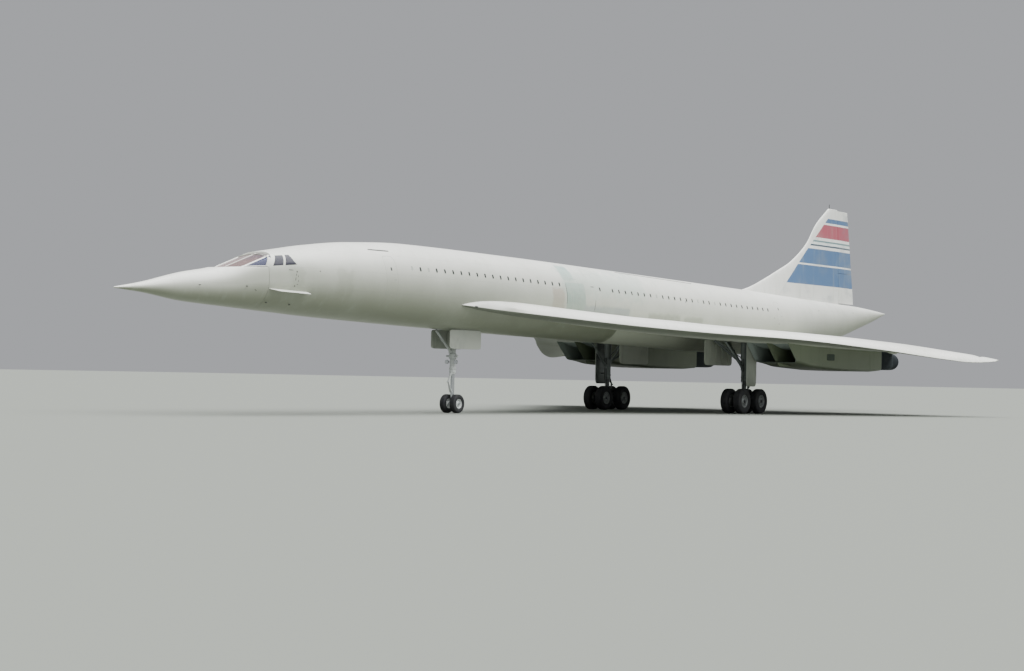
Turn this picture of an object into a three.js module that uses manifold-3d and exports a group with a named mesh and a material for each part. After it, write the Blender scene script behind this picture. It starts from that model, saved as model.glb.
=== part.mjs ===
// Supersonic delta-wing airliner, a 1:2 scale model, parked on its landing gear.
// Millimetres, +Z up, nose towards -X, port side towards -Y, wheels on z = 0.
// A station is a distance aft from the nose tip. Heights are above the ground as it parks, a little nose up.

import * as THREE from 'three';
import { mergeVertices } from 'three/addons/utils/BufferGeometryUtils.js';
import Module from 'manifold-3d';

const wasm = await Module();
wasm.setup();

// Driving dimensions
const overallLength = 30830;
const halfSpan = 6400;
const seatGap = 0.3; // between a piece and the piece that it rests on
const runningGap = 7; // between a moving piece and its neighbours
const pinGap = 0.6; // between a hub and its axle
const bodySides = 28; // sides of a fuselage section
const beyond = 100; // how far a cutter reaches past what it cuts

const noseSplit = 3375; // station where the droop nose meets the fuselage
const tailSplit = 28850; // station where the tail cone starts
const noseGearStation = 9695;
const mainGearStation = 18790;
const mainGearOffset = 1930; // from the centre plane

const at = (station) => station - overallLength / 2;

// Colours
const paint = {
  white: 0xdfe0da, belly: 0x8d9283, metal: 0x9a9c98, dark: 0x3c403f, tyre: 0x23242a, glass: 0x6b4a4c,
};
const makeMaterial = (color, roughness, metalness) =>
  new THREE.MeshStandardMaterial({ color, roughness, metalness });
const whitePaint = makeMaterial(paint.white, 0.45, 0);
const nacellePaint = makeMaterial(paint.belly, 0.55, 0);
const gearPaint = makeMaterial(paint.metal, 0.5, 0.4);
const darkMetal = makeMaterial(paint.dark, 0.5, 0.7);
const tyreRubber = makeMaterial(paint.tyre, 0.9, 0);
const tintedGlass = makeMaterial(paint.glass, 0.15, 0);

// Geometry helpers

const vec = (x, y, z) => new THREE.Vector3(x, y, z);
const lerp = THREE.MathUtils.lerp;

// Value of one column of a table at a place, on straight lines between rows
function lookUp(table, keyColumn, column, key) {
  if (key <= table[0][keyColumn]) return table[0][column];
  for (let i = 1; i < table.length; i += 1) {
    const [low, high] = [table[i - 1], table[i]];
    if (key <= high[keyColumn]) {
      const t = (key - low[keyColumn]) / (high[keyColumn] - low[keyColumn]);
      return lerp(low[column], high[column], t);
    }
  }
  return table[table.length - 1][column];
}

function toSolid(geometry) {
  const bare = geometry.index ? geometry.toNonIndexed() : geometry.clone();
  bare.deleteAttribute('normal');
  bare.deleteAttribute('uv');
  const merged = mergeVertices(bare, 1e-3);
  const vertProperties = Float32Array.from(merged.attributes.position.array);
  const triVerts = Uint32Array.from(merged.index.array);
  return new wasm.Manifold(new wasm.Mesh({ numProp: 3, vertProperties, triVerts }));
}

function toGeometry(solid) {
  const mesh = solid.getMesh();
  const geometry = new THREE.BufferGeometry();
  geometry.setAttribute('position', new THREE.BufferAttribute(Float32Array.from(mesh.vertProperties), 3));
  geometry.setIndex([...mesh.triVerts]);
  return geometry;
}

// Closed skin over a row of rings with equal point counts, its ends capped flat.
// Each quad is split along its shorter diagonal, so a symmetric row of rings gives a symmetric skin.
function loftGeometry(rings, flatten) {
  const count = rings[0].length;
  const points = rings.flat();
  const positions = points.flatMap((point) => [point.x, point.y, point.z]);
  const span = (p, q) => points[p].distanceTo(points[q]);
  const faces = [];
  for (let i = 0; i + 1 < rings.length; i += 1) {
    for (let j = 0; j < count; j += 1) {
      const next = (j + 1) % count;
      const [a, b, c, d] = [i * count + j, i * count + next, (i + 1) * count + next, (i + 1) * count + j];
      if (span(a, c) < span(b, d)) faces.push(a, b, c, a, c, d);
      else faces.push(a, b, d, b, c, d);
    }
  }
  for (const [ring, turned] of [[0, true], [rings.length - 1, false]]) {
    const outline = rings[ring].map(flatten);
    const clockwise = THREE.ShapeUtils.isClockWise(outline);
    const order = [...outline.keys()];
    if (clockwise) order.reverse();
    const triangles = THREE.ShapeUtils.triangulateShape(order.map((k) => outline[k]), []);
    for (const triangle of triangles) {
      const [p, q, r] = triangle.map((k) => order[k] + ring * count);
      if (turned === clockwise) faces.push(p, q, r);
      else faces.push(p, r, q);
    }
  }
  const geometry = new THREE.BufferGeometry();
  geometry.setAttribute('position', new THREE.Float32BufferAttribute(positions, 3));
  geometry.setIndex(faces);
  return geometry;
}

const acrossX = (point) => new THREE.Vector2(point.y, point.z);
const acrossY = (point) => new THREE.Vector2(point.x, point.z);
const acrossZ = (point) => new THREE.Vector2(point.x, point.y);

// The loft as a solid, turned right side out if its rings run the other way
function loft(rings, flatten) {
  const geometry = loftGeometry(rings, flatten);
  const position = geometry.attributes.position;
  const index = geometry.index.array;
  const [a, b, c] = [vec(0, 0, 0), vec(0, 0, 0), vec(0, 0, 0)];
  let volume = 0;
  for (let i = 0; i < index.length; i += 3) {
    a.fromBufferAttribute(position, index[i]);
    b.fromBufferAttribute(position, index[i + 1]);
    c.fromBufferAttribute(position, index[i + 2]);
    volume += a.dot(b.cross(c));
  }
  if (volume < 0) {
    const turned = [];
    for (let i = 0; i < index.length; i += 3) turned.push(index[i], index[i + 2], index[i + 1]);
    geometry.setIndex(turned);
  }
  return toSolid(geometry);
}

function box(xLow, xHigh, yLow, yHigh, zLow, zHigh) {
  const geometry = new THREE.BoxGeometry(xHigh - xLow, yHigh - yLow, zHigh - zLow);
  geometry.translate((xLow + xHigh) / 2, (yLow + yHigh) / 2, (zLow + zHigh) / 2);
  return toSolid(geometry);
}

// Round bar between two points
function bar(from, to, radius, sides = 12, endRadius = radius) {
  const length = from.distanceTo(to);
  const geometry = new THREE.CylinderGeometry(endRadius, radius, length, sides);
  const turn = new THREE.Quaternion().setFromUnitVectors(vec(0, 1, 0), to.clone().sub(from).normalize());
  geometry.applyQuaternion(turn);
  const middle = from.clone().add(to).multiplyScalar(0.5);
  geometry.translate(middle.x, middle.y, middle.z);
  return toSolid(geometry);
}

// Flat plate with a side-view outline of [x, z] points, between two y values
function sidePlate(outline, yLow, yHigh) {
  return loft([yLow, yHigh].map((y) => outline.map(([x, z]) => vec(x, y, z))), acrossY);
}

// Flat plate with a plan outline of [x, y] points, between two heights
function planPlate(outline, zLow, zHigh) {
  return loft([zLow, zHigh].map((z) => outline.map(([x, y]) => vec(x, y, z))), acrossZ);
}

const join = (...solids) => solids.reduce((sum, solid) => sum.add(solid));

// What is left of a piece that is cut back to its seat: the largest part, without what reached through
function seat(solid, ...cutters) {
  const parts = cutters.reduce((rest, cutter) => rest.subtract(cutter), solid).decompose();
  return parts.reduce((best, part) => (part.volume() > best.volume() ? part : best));
}

const mirror = (solid) => solid.mirror([0, 1, 0]);

// Body of the aircraft, as one envelope from nose tip to tail tip
// columns: station, half width, top height, bottom height, squareness of the upper half
const bodySections = [
  [0, 9, 2184, 2166, 2],
  [260, 58, 2228, 2146, 2],
  [650, 112, 2300, 2118, 2],
  [1600, 250, 2515, 2008, 2],
  [2350, 352, 2640, 1966, 2.3],
  [2585, 385, 2700, 1955, 2.5],
  [2900, 430, 2815, 1940, 2.7],
  [3200, 480, 2935, 1926, 2.8],
  [3375, 510, 2965, 1918, 2.9],
  [3700, 560, 3010, 1902, 2.9],
  [4100, 602, 3075, 1884, 2.6],
  [4800, 655, 3185, 1850, 2.2],
  [6100, 708, 3325, 1806, 2],
  [7850, 720, 3400, 1755, 2],
  [11350, 720, 3360, 1670, 2],
  [16000, 720, 3262, 1570, 2],
  [20800, 720, 3150, 1465, 2],
  [22500, 715, 3108, 1452, 2],
  [24000, 672, 3065, 1515, 2],
  [26000, 530, 3005, 1750, 2],
  [27500, 385, 2970, 1990, 2],
  [28850, 255, 2932, 2290, 2],
  [30000, 118, 2868, 2560, 2],
  [30830, 10, 2805, 2785, 2],
];

const signedPower = (value, power) => Math.sign(value) * Math.abs(value) ** power;

// Closed ring of the unit superellipse, as [across, up] pairs. A squareness of 2 gives a circle.
function superRing(sides, squareAbove, squareBelow) {
  const ring = [];
  for (let j = 0; j < sides; j += 1) {
    const angle = (2 * Math.PI * j) / sides;
    const power = 2 / (Math.sin(angle) > 0 ? squareAbove : squareBelow);
    ring.push([signedPower(Math.cos(angle), power), signedPower(Math.sin(angle), power)]);
  }
  return ring;
}

// Ring of the envelope at a station, made larger all round by grow. Its lower half is an ellipse.
function bodyRing(station, grow = 0) {
  const halfWidth = lookUp(bodySections, 0, 1, station) + grow;
  const top = lookUp(bodySections, 0, 2, station) + grow;
  const bottom = lookUp(bodySections, 0, 3, station) - grow;
  const ring = superRing(bodySides, lookUp(bodySections, 0, 4, station), 2);
  return ring.map(([across, up]) => (
    vec(at(station), halfWidth * across, (top + bottom) / 2 + ((top - bottom) / 2) * up)));
}

function bodyLoft(fromStation, toStation, grow = 0) {
  const inner = bodySections.map((row) => row[0]).filter((s) => s > fromStation && s < toStation);
  const stations = [fromStation, ...inner, toStation];
  return loft(stations.map((station) => bodyRing(station, grow)), acrossX);
}

const grownBody = bodyLoft(noseSplit, overallLength, seatGap);

// Cockpit: a flat deck runs back from the nose to the foot of the glass, and the glass slopes up from there
// in one plane to a low brow in front of the cabin roof. The sill is the line that the glass stands on.
// columns: station, height
const cockpitTop = [[2350, 2640], [2830, 2671], [3565, 2961], [3605, 3014]];
const cockpitSill = [[2830, 2671], [3700, 2713]];
const highAbove = 800; // how far a cutter reaches up
const visorWall = 14;

// What lies over a line of [station, height] points, raised by lift
function over(line, lift) {
  const outline = line.map(([station, height]) => [at(station), height + lift]);
  const [[front], [rear, height]] = [outline[0], outline[outline.length - 1]];
  return sidePlate([...outline, [rear, height + highAbove], [front, height + highAbove]], -1000, 1000);
}

// The body with the space over the cockpit cut away
const cockpitLoft = (from, to, grow = 0) => bodyLoft(from, to, grow).subtract(over(cockpitTop, grow));

// What lies ahead of the joint between droop nose and fuselage. Above its knee the joint leans aft, so the
// visor's rear edge moves away from the fuselage as the nose droops.
const noseJoint = { knee: 2700, lean: 0.75, reach: 600 };

function aheadOfJoint(shift) {
  const { knee, lean, reach } = noseJoint;
  const [front, rear, top] = [at(0) - beyond, at(noseSplit) + shift, knee + reach];
  const outline = [[front, 0], [rear, 0], [rear, knee], [rear + lean * reach, top], [front, top]];
  return sidePlate(outline, -1000, 1000);
}

// Hinge of the droop nose: bosses on the fuselage frame, low down, in round seats in the nose
const droopHinge = { station: noseSplit - 3.5, height: 1948, radius: 24, from: 60, to: 150, sides: 24 };
const droopAngle = 12.5;

function droopBosses(grow, endGap) {
  const { station, height, radius, from, to, sides } = droopHinge;
  return join(...[-1, 1].map((side) => {
    const [near, far] = [side * (from - endGap), side * (to + endGap)];
    return bar(vec(at(station), near, height), vec(at(station), far, height), radius + grow, sides);
  }));
}

function makeDroopNose() {
  const { height, radius, sides } = droopHinge;
  const drop = 80;
  const relief = sidePlate([
    [at(noseSplit - runningGap), height],
    [at(noseSplit - runningGap) - drop * Math.tan(THREE.MathUtils.degToRad(droopAngle + 1)), height - drop],
    [at(noseSplit) + 5, height - drop],
    [at(noseSplit) + 5, height],
  ], -1000, 1000);
  const seatRadius = (radius + pinGap) / Math.cos(Math.PI / sides) - radius;
  const nose = cockpitLoft(0, noseSplit - runningGap).subtract(over(cockpitSill, 0)).subtract(relief);
  return nose.subtract(droopBosses(seatRadius, 3));
}

function makeVisor() {
  const [[foot], [roof]] = cockpitSill;
  const shell = cockpitLoft(foot, roof).subtract(cockpitLoft(foot, roof, -visorWall));
  const leaningGap = runningGap * Math.hypot(1, noseJoint.lean);
  return shell.intersect(over(cockpitSill, seatGap)).intersect(aheadOfJoint(-leaningGap));
}

// Fuselage behind the droop nose, with a pocket on each side for the cockpit side glass
// columns: station, height
const sideGlassCorners = [[3483, 2727], [3622, 2913], [3967, 2945], [4028, 2777]];
const sideGlassDepth = 10;

// The side glass's outline, its corners moved inwards by a little more than shrink
function sideGlassZone(shrink) {
  const [middleStation, middleHeight] = [3780, 2840];
  const outline = sideGlassCorners.map(([station, height]) => [
    at(station) + 2 * shrink * Math.sign(middleStation - station),
    height + 1.2 * shrink * Math.sign(middleHeight - height),
  ]);
  return sidePlate(outline, 0, 1000);
}

const fuselageEnvelope = cockpitLoft(noseSplit, tailSplit).subtract(aheadOfJoint(0));

function makeSideGlass() {
  const core = bodyLoft(noseSplit, tailSplit, -sideGlassDepth);
  return fuselageEnvelope.subtract(core).intersect(sideGlassZone(seatGap));
}

function makeFuselage() {
  const core = bodyLoft(noseSplit, tailSplit, -sideGlassDepth - seatGap);
  const pocket = sideGlassZone(0).subtract(core);
  return fuselageEnvelope.subtract(pocket).subtract(mirror(pocket)).add(droopBosses(0, 0));
}

// Fixed windscreen, a plate on the fuselage's leaning front face
const windscreen = { inset: 45, thick: 3, low: 2715, high: 2925, to: 3700 };

function makeWindscreen() {
  const { inset, thick, low, high, to } = windscreen;
  const plate = aheadOfJoint(-seatGap).subtract(aheadOfJoint(-seatGap - thick));
  const space = cockpitLoft(noseSplit - beyond, to, -inset);
  return space.intersect(plate).intersect(box(at(noseSplit), at(to), -1000, 1000, low, high));
}

const makeTailCone = () => bodyLoft(tailSplit + seatGap, overallLength);

// Wing: distance from the centre plane, leading edge station and height, trailing edge station and height,
// rise of the upper skin over the edge line, depth of the lower skin under it, length of the blunt front
// columns: offset, lead, leadHeight, trail, trailHeight, crown, belly, blunt
const wingSections = [
  [150, 8600, 2250, 24300, 1655, 330, 110, 700],
  [700, 9150, 2215, 24300, 1650, 330, 110, 650],
  [810, 10000, 2165, 24300, 1648, 320, 110, 600],
  [1210, 12000, 2060, 24300, 1640, 300, 110, 500],
  [1785, 14000, 1945, 24300, 1628, 270, 105, 400],
  [2575, 16000, 1845, 24300, 1612, 245, 95, 300],
  [3640, 18000, 1760, 24300, 1560, 215, 75, 280],
  [4875, 20000, 1575, 23975, 1500, 185, 45, 270],
  [5825, 21750, 1375, 23700, 1440, 150, 25, 250],
  [6125, 22500, 1320, 23620, 1422, 120, 15, 230],
  [6290, 23000, 1318, 23575, 1412, 80, 10, 200],
  [halfSpan, 23350, 1365, 23540, 1402, 20, 6, 150],
];

// Fractions of the chord at which a wing section has points, close together at the front
const chordSteps = [0, 0.006, 0.02, 0.05, 0.12, 0.25, 0.45, 0.65, 0.8, 0.9, 1];

const upperRise = (t, chord, crown, blunt) => crown * (1 - Math.exp((-t * chord) / blunt)) * (1 - t ** 3);
const lowerDrop = (t, belly) => belly * Math.sin(Math.PI * t ** 0.6);

function wingRing([offset, lead, leadHeight, trail, trailHeight, crown, belly, blunt], grow) {
  const chord = trail - lead;
  const edge = 4 + grow;
  const place = (t) => at(lerp(lead - grow, trail + grow, t));
  const line = (t) => lerp(leadHeight, trailHeight, t);
  const upper = chordSteps.map((t) => (
    vec(place(t), offset, line(t) + upperRise(t, chord, crown, blunt) + edge)));
  const lower = chordSteps.map((t) => vec(place(t), offset, line(t) - lowerDrop(t, belly) - edge));
  return [...upper, ...lower.reverse()];
}

function wingLoft(grow = 0) {
  return loft(wingSections.map((row) => wingRing(row, grow)), acrossY);
}

function wingPoint(station, offset) {
  const [, lead, leadHeight, trail, trailHeight, crown, belly, blunt] = wingSections[0].map((_, column) =>
    lookUp(wingSections, 0, column, offset));
  const t = (station - lead) / (trail - lead);
  const middle = lerp(leadHeight, trailHeight, t);
  const upper = middle + upperRise(t, trail - lead, crown, blunt);
  const lower = middle - lowerDrop(t, belly);
  return { upper, lower };
}

// Elevons, three on each wing: from and to are distances from the centre plane
// columns: name, from, to, hinge station at from, hinge station at to
const elevonRows = [
  ['inner', 900, 2075, 23300, 23300],
  ['middle', 3310, 4860, 23273, 23140],
  ['outer', 4880, 6130, 23138, 23030],
];
const elevonEndGap = 10;

function elevonHinge(row) {
  const [, from, to, stationFrom, stationTo] = row;
  return [[from, stationFrom], [to, stationTo]].map(([offset, station]) => {
    const { upper, lower } = wingPoint(station, offset);
    return { offset, station, height: (upper + lower) / 2, radius: (upper - lower) / 2 };
  });
}

function elevonRing({ offset, station, height, radius }) {
  const trail = lookUp(wingSections, 0, 3, offset);
  const trailHeight = lookUp(wingSections, 0, 4, offset);
  const ring = [];
  for (let k = 0; k <= 8; k += 1) {
    const angle = Math.PI / 2 + (Math.PI * k) / 8;
    ring.push(vec(at(station) + radius * Math.cos(angle), offset, height + radius * Math.sin(angle)));
  }
  ring.push(vec(at(trail), offset, trailHeight - 4), vec(at(trail), offset, trailHeight + 4));
  return ring;
}

const makeElevon = (row) => loft(elevonHinge(row).map(elevonRing), acrossY);

// Space behind the wing's fixed rear face that an elevon needs
function elevonBay(row) {
  const ends = elevonHinge(row);
  const front = ends.map(({ offset, station, radius }) => [at(station) - radius - runningGap, offset]);
  const outline = [
    [front[0][0], front[0][1] - elevonEndGap],
    [front[1][0], front[1][1] + elevonEndGap],
    [at(25000), front[1][1] + elevonEndGap],
    [at(25000), front[0][1] - elevonEndGap],
  ];
  return planPlate(outline, 1000, 2200);
}

// Brackets that carry a moving surface: blocks on the fixed part, hollowed round the surface's nose.
// ends are the hinge line's two ends with the nose radius there, and size gives a block's half width
// and half height.
const bracketPlaces = [0.12, 0.5, 0.88];

function hingeBrackets(ends, size) {
  const [from, to] = ends;
  const grow = (radius) => (radius + pinGap) / Math.cos(Math.PI / 24);
  const nose = bar(from.point, to.point, grow(from.radius), 24, grow(to.radius));
  const blocks = bracketPlaces.map((t) => {
    const centre = from.point.clone().lerp(to.point, t);
    const radius = lerp(from.radius, to.radius, t);
    const [wide, high] = size(radius);
    const front = centre.x - radius - runningGap - 15;
    const rear = centre.x - 0.6 * radius;
    return box(front, rear, centre.y - wide, centre.y + wide, centre.z - high, centre.z + high);
  });
  return join(...blocks).subtract(nose);
}

function elevonBrackets(row) {
  const ends = elevonHinge(row).map(({ station, offset, height, radius }) => (
    { point: vec(at(station), offset, height), radius }));
  return hingeBrackets(ends, (radius) => [25, radius / 2]);
}

// Fairings under the wing over the jacks of the middle and outer elevons, from the bay's front wall forward
// columns: distance from the centre plane, half width, depth
const jackFairings = [[3860, 40, 46], [4580, 38, 44], [5210, 34, 38], [5800, 26, 28]];
const fairingLength = 560;
// columns: fraction of the length, fraction of the size
const fairingShape = [[0, 0.06], [0.2, 0.5], [0.5, 0.9], [0.8, 1], [1, 0.85]];

function makeJackFairing([offset, halfWidth, depth]) {
  const row = elevonRows.find(([, from, to]) => from < offset && offset < to);
  const [from, to] = elevonHinge(row);
  const t = (offset - from.offset) / (to.offset - from.offset);
  const rear = lerp(from.station - from.radius, to.station - to.radius, t) - runningGap - 5;
  const rings = fairingShape.map(([place, size]) => {
    const station = rear - fairingLength * (1 - place);
    const { lower } = wingPoint(station, offset);
    return superRing(12, 2, 2).map(([across, up]) => (
      vec(at(station), offset + halfWidth * size * across, lower + depth * size * up)));
  });
  return loft(rings, acrossX);
}

function makeWing() {
  const bays = join(...elevonRows.map(elevonBay));
  const added = join(...elevonRows.map(elevonBrackets), ...jackFairings.map(makeJackFairing));
  return seat(wingLoft(), bays, grownBody).add(added);
}

const grownWing = wingLoft(seatGap);

// Fin and rudders: leading and trailing edge stations at a height, and half the thickness at the hinge
// columns: height, lead, trail, half thickness
const finSections = [
  [2880, 20800, 28700, 92],
  [3205, 22500, 28665, 86],
  [3445, 23285, 28625, 82],
  [3740, 24135, 28570, 77],
  [3980, 24785, 28525, 72],
  [4530, 25725, 28425, 61],
  [5090, 26285, 28325, 50],
  [5590, 27050, 28220, 40],
];
const finTipRear = 5560;
const rudderSplit = 3830;
const rudderFoot = 2985;
const rudderGap = 9; // between the two rudders, which lean past each other when they part
const rudderHingeFoot = { station: 27680, height: 2880 };
const rudderHingeLean = 0.04; // the hinge line leans forward as it rises

const finColumn = (height, column) => lookUp(finSections, 0, column, height);
const rudderHinge = (height) => rudderHingeFoot.station - rudderHingeLean * (height - rudderHingeFoot.height);

function finRing(height) {
  const lead = finColumn(height, 1);
  const half = finColumn(height, 3);
  const rear = rudderHinge(height) - half - runningGap;
  const steps = [0, 0.08, 0.3, 0.65, 1];
  const width = (t) => 3 + half * Math.min(1, 1.6 * Math.sqrt(t));
  const near = steps.map((t) => vec(at(lerp(lead, rear, t)), -width(t), height));
  const far = steps.map((t) => vec(at(lerp(lead, rear, t)), width(t), height));
  return [...near, ...far.reverse()];
}

function rudderBrackets([low, high]) {
  const ends = [low, high].map((height) => (
    { point: vec(at(rudderHinge(height)), 0, height), radius: finColumn(height, 3) }));
  return hingeBrackets(ends, (radius) => [radius / 2, 25]);
}

function makeFin() {
  const fin = seat(loft(finSections.map((row) => finRing(row[0])), acrossZ), grownBody);
  const brackets = [[rudderFoot, rudderSplit], [rudderSplit, finTipRear]].map(rudderBrackets);
  return fin.add(join(...brackets));
}

function rudderRing(height) {
  const hinge = rudderHinge(height);
  const trail = finColumn(height, 2);
  const half = finColumn(height, 3);
  const ring = [];
  for (let k = 0; k <= 8; k += 1) {
    const angle = Math.PI / 2 + (Math.PI * k) / 8;
    ring.push(vec(at(hinge) + half * Math.cos(angle), half * Math.sin(angle), height));
  }
  ring.push(vec(at(trail), -4, height), vec(at(trail), 4, height));
  return ring;
}

function makeRudder(low, high) {
  const inner = finSections.map((row) => row[0]).filter((height) => height > low && height < high);
  return loft([low, ...inner, high].map(rudderRing), acrossZ);
}

// Engine nacelles: each holds two engines side by side, open in front and behind, roofed by the wing.
// inner and outer are its sides' distances from the centre plane, and mouth is where the side walls start.
const nacelle = {
  inner: 2150, outer: 3250, wall: 36, splitter: 60, floor: 34,
  mouth: 18425, mouthHeight: 1700, lip: 18950, end: 23620, roof: 2100, corner: 75,
};
// columns: station, height of the underside
const nacelleKeel = [
  [nacelle.lip, 1225],
  [19300, 1187],
  [19700, 1133],
  [20500, 1098],
  [21500, 1065],
  [22900, 1060],
  [nacelle.end, 1095],
];
// side outline of the splitter's foot, which reaches below the lips of the two ducts
const splitterFoot = [[18985, 1220], [19045, 1140], [19700, 1133], [19700, 1160]];
const nacelleMiddle = (nacelle.inner + nacelle.outer) / 2;
const ductWidth = (nacelle.outer - nacelle.inner - 2 * nacelle.wall - nacelle.splitter) / 2;
const ductCentres = [-1, 1].map((side) => nacelleMiddle + (side * (ductWidth + nacelle.splitter)) / 2);

// Section of the nacelle's outside at a station, its lower corners rounded in three steps
function nacelleRing([station, keel]) {
  const { inner, outer, corner, roof } = nacelle;
  const round = [0, 1, 2, 3].map((k) => (Math.PI * k) / 6);
  const near = round.map((angle) => (
    [inner + corner * (1 - Math.cos(angle)), keel + corner * (1 - Math.sin(angle))]));
  const far = near.map(([y, z]) => [inner + outer - y, z]).reverse();
  return [[inner, roof], ...near, ...far, [outer, roof]].map(([y, z]) => vec(at(station), y, z));
}

function makeNacelle() {
  const { inner, outer, splitter, floor, mouth, mouthHeight, end, roof } = nacelle;
  const keel = nacelleKeel.map(([station, height]) => [at(station), height]);
  const outline = [[at(mouth), mouthHeight], ...keel, [at(end), roof], [at(mouth), roof]];
  const bed = keel.map(([x, height]) => [x, height + floor]);
  const [first, last] = [bed[0], bed[bed.length - 1]];
  const duct = [
    [at(mouth) - beyond, roof + beyond],
    [at(mouth) - beyond, first[1]],
    ...bed,
    [at(end) + beyond, last[1]],
    [at(end) + beyond, roof + beyond],
  ];
  const ducts = ductCentres.map((y) => sidePlate(duct, y - ductWidth / 2, y + ductWidth / 2));
  const rounded = loft([[mouth, nacelleKeel[0][1]], ...nacelleKeel].map(nacelleRing), acrossX);
  const foot = sidePlate(
    splitterFoot.map(([station, height]) => [at(station), height]),
    nacelleMiddle - splitter / 2,
    nacelleMiddle + splitter / 2,
  );
  return seat(sidePlate(outline, inner, outer).intersect(rounded), ...ducts, grownWing).add(foot);
}

const engine = { from: 21200, to: 23100, radius: 225, sides: 16 };

function makeEngine(y) {
  const { from, to, radius, sides } = engine;
  const keel = Math.max(...[from, to].map((station) => lookUp(nacelleKeel, 0, 1, station)));
  const z = keel + nacelle.floor + radius + seatGap;
  return bar(vec(at(from), y, z), vec(at(to), y, z), radius, sides);
}

// Nozzles: each starts as half of the box and draws in to a round barrel
const nozzle = { bore: 195, boreSides: 20, sides: 28, height: 1335 };
// columns: station, half width, half height, squareness
const nozzleSections = [
  [nacelle.end + seatGap, 274, 220, 9],
  [24100, 268, 219, 6],
  [24380, 252, 217, 3.6],
  [24560, 232, 213, 2.4],
  [24800, 214, 203, 2],
];

function makeBarrel(centre) {
  const { bore, boreSides, sides, height } = nozzle;
  const rings = nozzleSections.map(([station, halfWidth, halfHeight, square]) => (
    superRing(sides, square, square).map(([across, up]) => (
      vec(at(station), centre + halfWidth * across, height + halfHeight * up)))));
  const [[front], [rear]] = [nozzleSections[0], nozzleSections[nozzleSections.length - 1]];
  const [from, to] = [vec(at(front) - beyond, centre, height), vec(at(rear) + beyond, centre, height)];
  const hole = bar(from, to, bore, boreSides);
  return loft(rings, acrossX).subtract(hole);
}

const makeNozzle = () => seat(join(...ductCentres.map(makeBarrel)), grownWing);

// Wheels: a round profile with a bore for the axle, its places as fractions of the radius and half width
// columns: fraction of the radius, fraction of the half width
const tyreProfile = [
  [0.5, -0.72], [0.62, -1], [0.88, -1], [0.98, -0.62], [1, -0.2],
  [1, 0.2], [0.98, 0.62], [0.88, 1], [0.62, 1], [0.5, 0.72],
];

function makeWheel({ radius, width, axle, sides }) {
  const bore = (axle + pinGap) / Math.cos(Math.PI / sides);
  const tyre = tyreProfile.map(([r, y]) => new THREE.Vector2(r * radius, (y * width) / 2));
  const inside = [tyre[tyre.length - 1], tyre[0]].map((point) => new THREE.Vector2(bore, point.y));
  return toSolid(new THREE.LatheGeometry([inside[1], ...tyre, inside[0], inside[1]], sides));
}

// A wheel's axis lies along Y, and a flat of its tread is turned to the ground
function placeWheel(wheel, x, y) {
  return makeWheel(wheel).rotate([0, 180 / wheel.sides, 0]).translate([x, y, wheelHeight(wheel)]);
}

const mainWheel = { radius: 298.5, width: 200, track: 340, base: 835, axle: 34, sides: 20 };
const noseWheel = { radius: 196.75, width: 136, track: 255, axle: 24, sides: 20 };
const wheelHeight = ({ radius, sides }) => radius * Math.cos(Math.PI / sides);

// Main gear, made for the starboard side (+Y) and mirrored for port
const gearX = at(mainGearStation);
const gearY = mainGearOffset;
const mainLeg = {
  top: 1780, shoulder: 1300, shoulderRadius: 95, collar: 760, radius: 78, ankle: 75, sliderRadius: 52,
  sides: 14,
};
const torqueLink = { root: 40, knee: 210, high: 800, middle: 626, low: 430, radius: 18, sides: 8 };

function mainCylinder(grow = 0) {
  const { top, shoulder, shoulderRadius, collar, radius, sides } = mainLeg;
  const upper = bar(vec(gearX, gearY, shoulder), vec(gearX, gearY, top), shoulderRadius + grow, sides);
  return upper.add(bar(vec(gearX, gearY, collar - grow), vec(gearX, gearY, shoulder), radius + grow, sides));
}

function makeMainLeg() {
  const { collar, ankle, sliderRadius, sides } = mainLeg;
  const foot = wheelHeight(mainWheel) + ankle;
  const slider = bar(vec(gearX, gearY, foot), vec(gearX, gearY, collar), sliderRadius, sides);
  const knee = vec(gearX + torqueLink.knee, gearY, torqueLink.middle);
  const links = [torqueLink.high, torqueLink.low].map((height) => (
    bar(vec(gearX + torqueLink.root, gearY, height), knee, torqueLink.radius, torqueLink.sides)));
  return seat(join(mainCylinder(), slider, ...links), grownWing);
}

const bogie = { overhang: 60, halfWidth: 50, halfHeight: 55, pivotRadius: 62, pivotSides: 12, axleEnd: 8 };

function makeBogie() {
  const { overhang, halfWidth, halfHeight, pivotRadius, pivotSides, axleEnd } = bogie;
  const hub = wheelHeight(mainWheel);
  const half = mainWheel.base / 2;
  const [front, rear] = [gearX - half - overhang, gearX + half + overhang];
  const beam = box(front, rear, gearY - halfWidth, gearY + halfWidth, hub - halfHeight, hub + halfHeight);
  const pivotTop = hub + mainLeg.ankle - seatGap;
  const pivot = bar(vec(gearX, gearY, hub), vec(gearX, gearY, pivotTop), pivotRadius, pivotSides);
  const reach = mainWheel.track / 2 + mainWheel.width / 2 + axleEnd;
  const axles = [gearX - half, gearX + half].map((x) => (
    bar(vec(x, gearY - reach, hub), vec(x, gearY + reach, hub), mainWheel.axle, mainWheel.sides)));
  return join(beam, pivot, ...axles);
}

function makeMainWheel(foreAft, side) {
  const x = gearX + (foreAft * mainWheel.base) / 2;
  return placeWheel(mainWheel, x, gearY + (side * mainWheel.track) / 2);
}

// The side stay is a V from the leg to two places on the wing's underside, front and rear of the leg
const sideStay = {
  height: 1215, gap: 40, front: -290, rear: 410, inboard: 1250, top: 1600, radius: 26, sides: 10,
  knuckle: 45, knuckleReach: 30,
};

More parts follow.
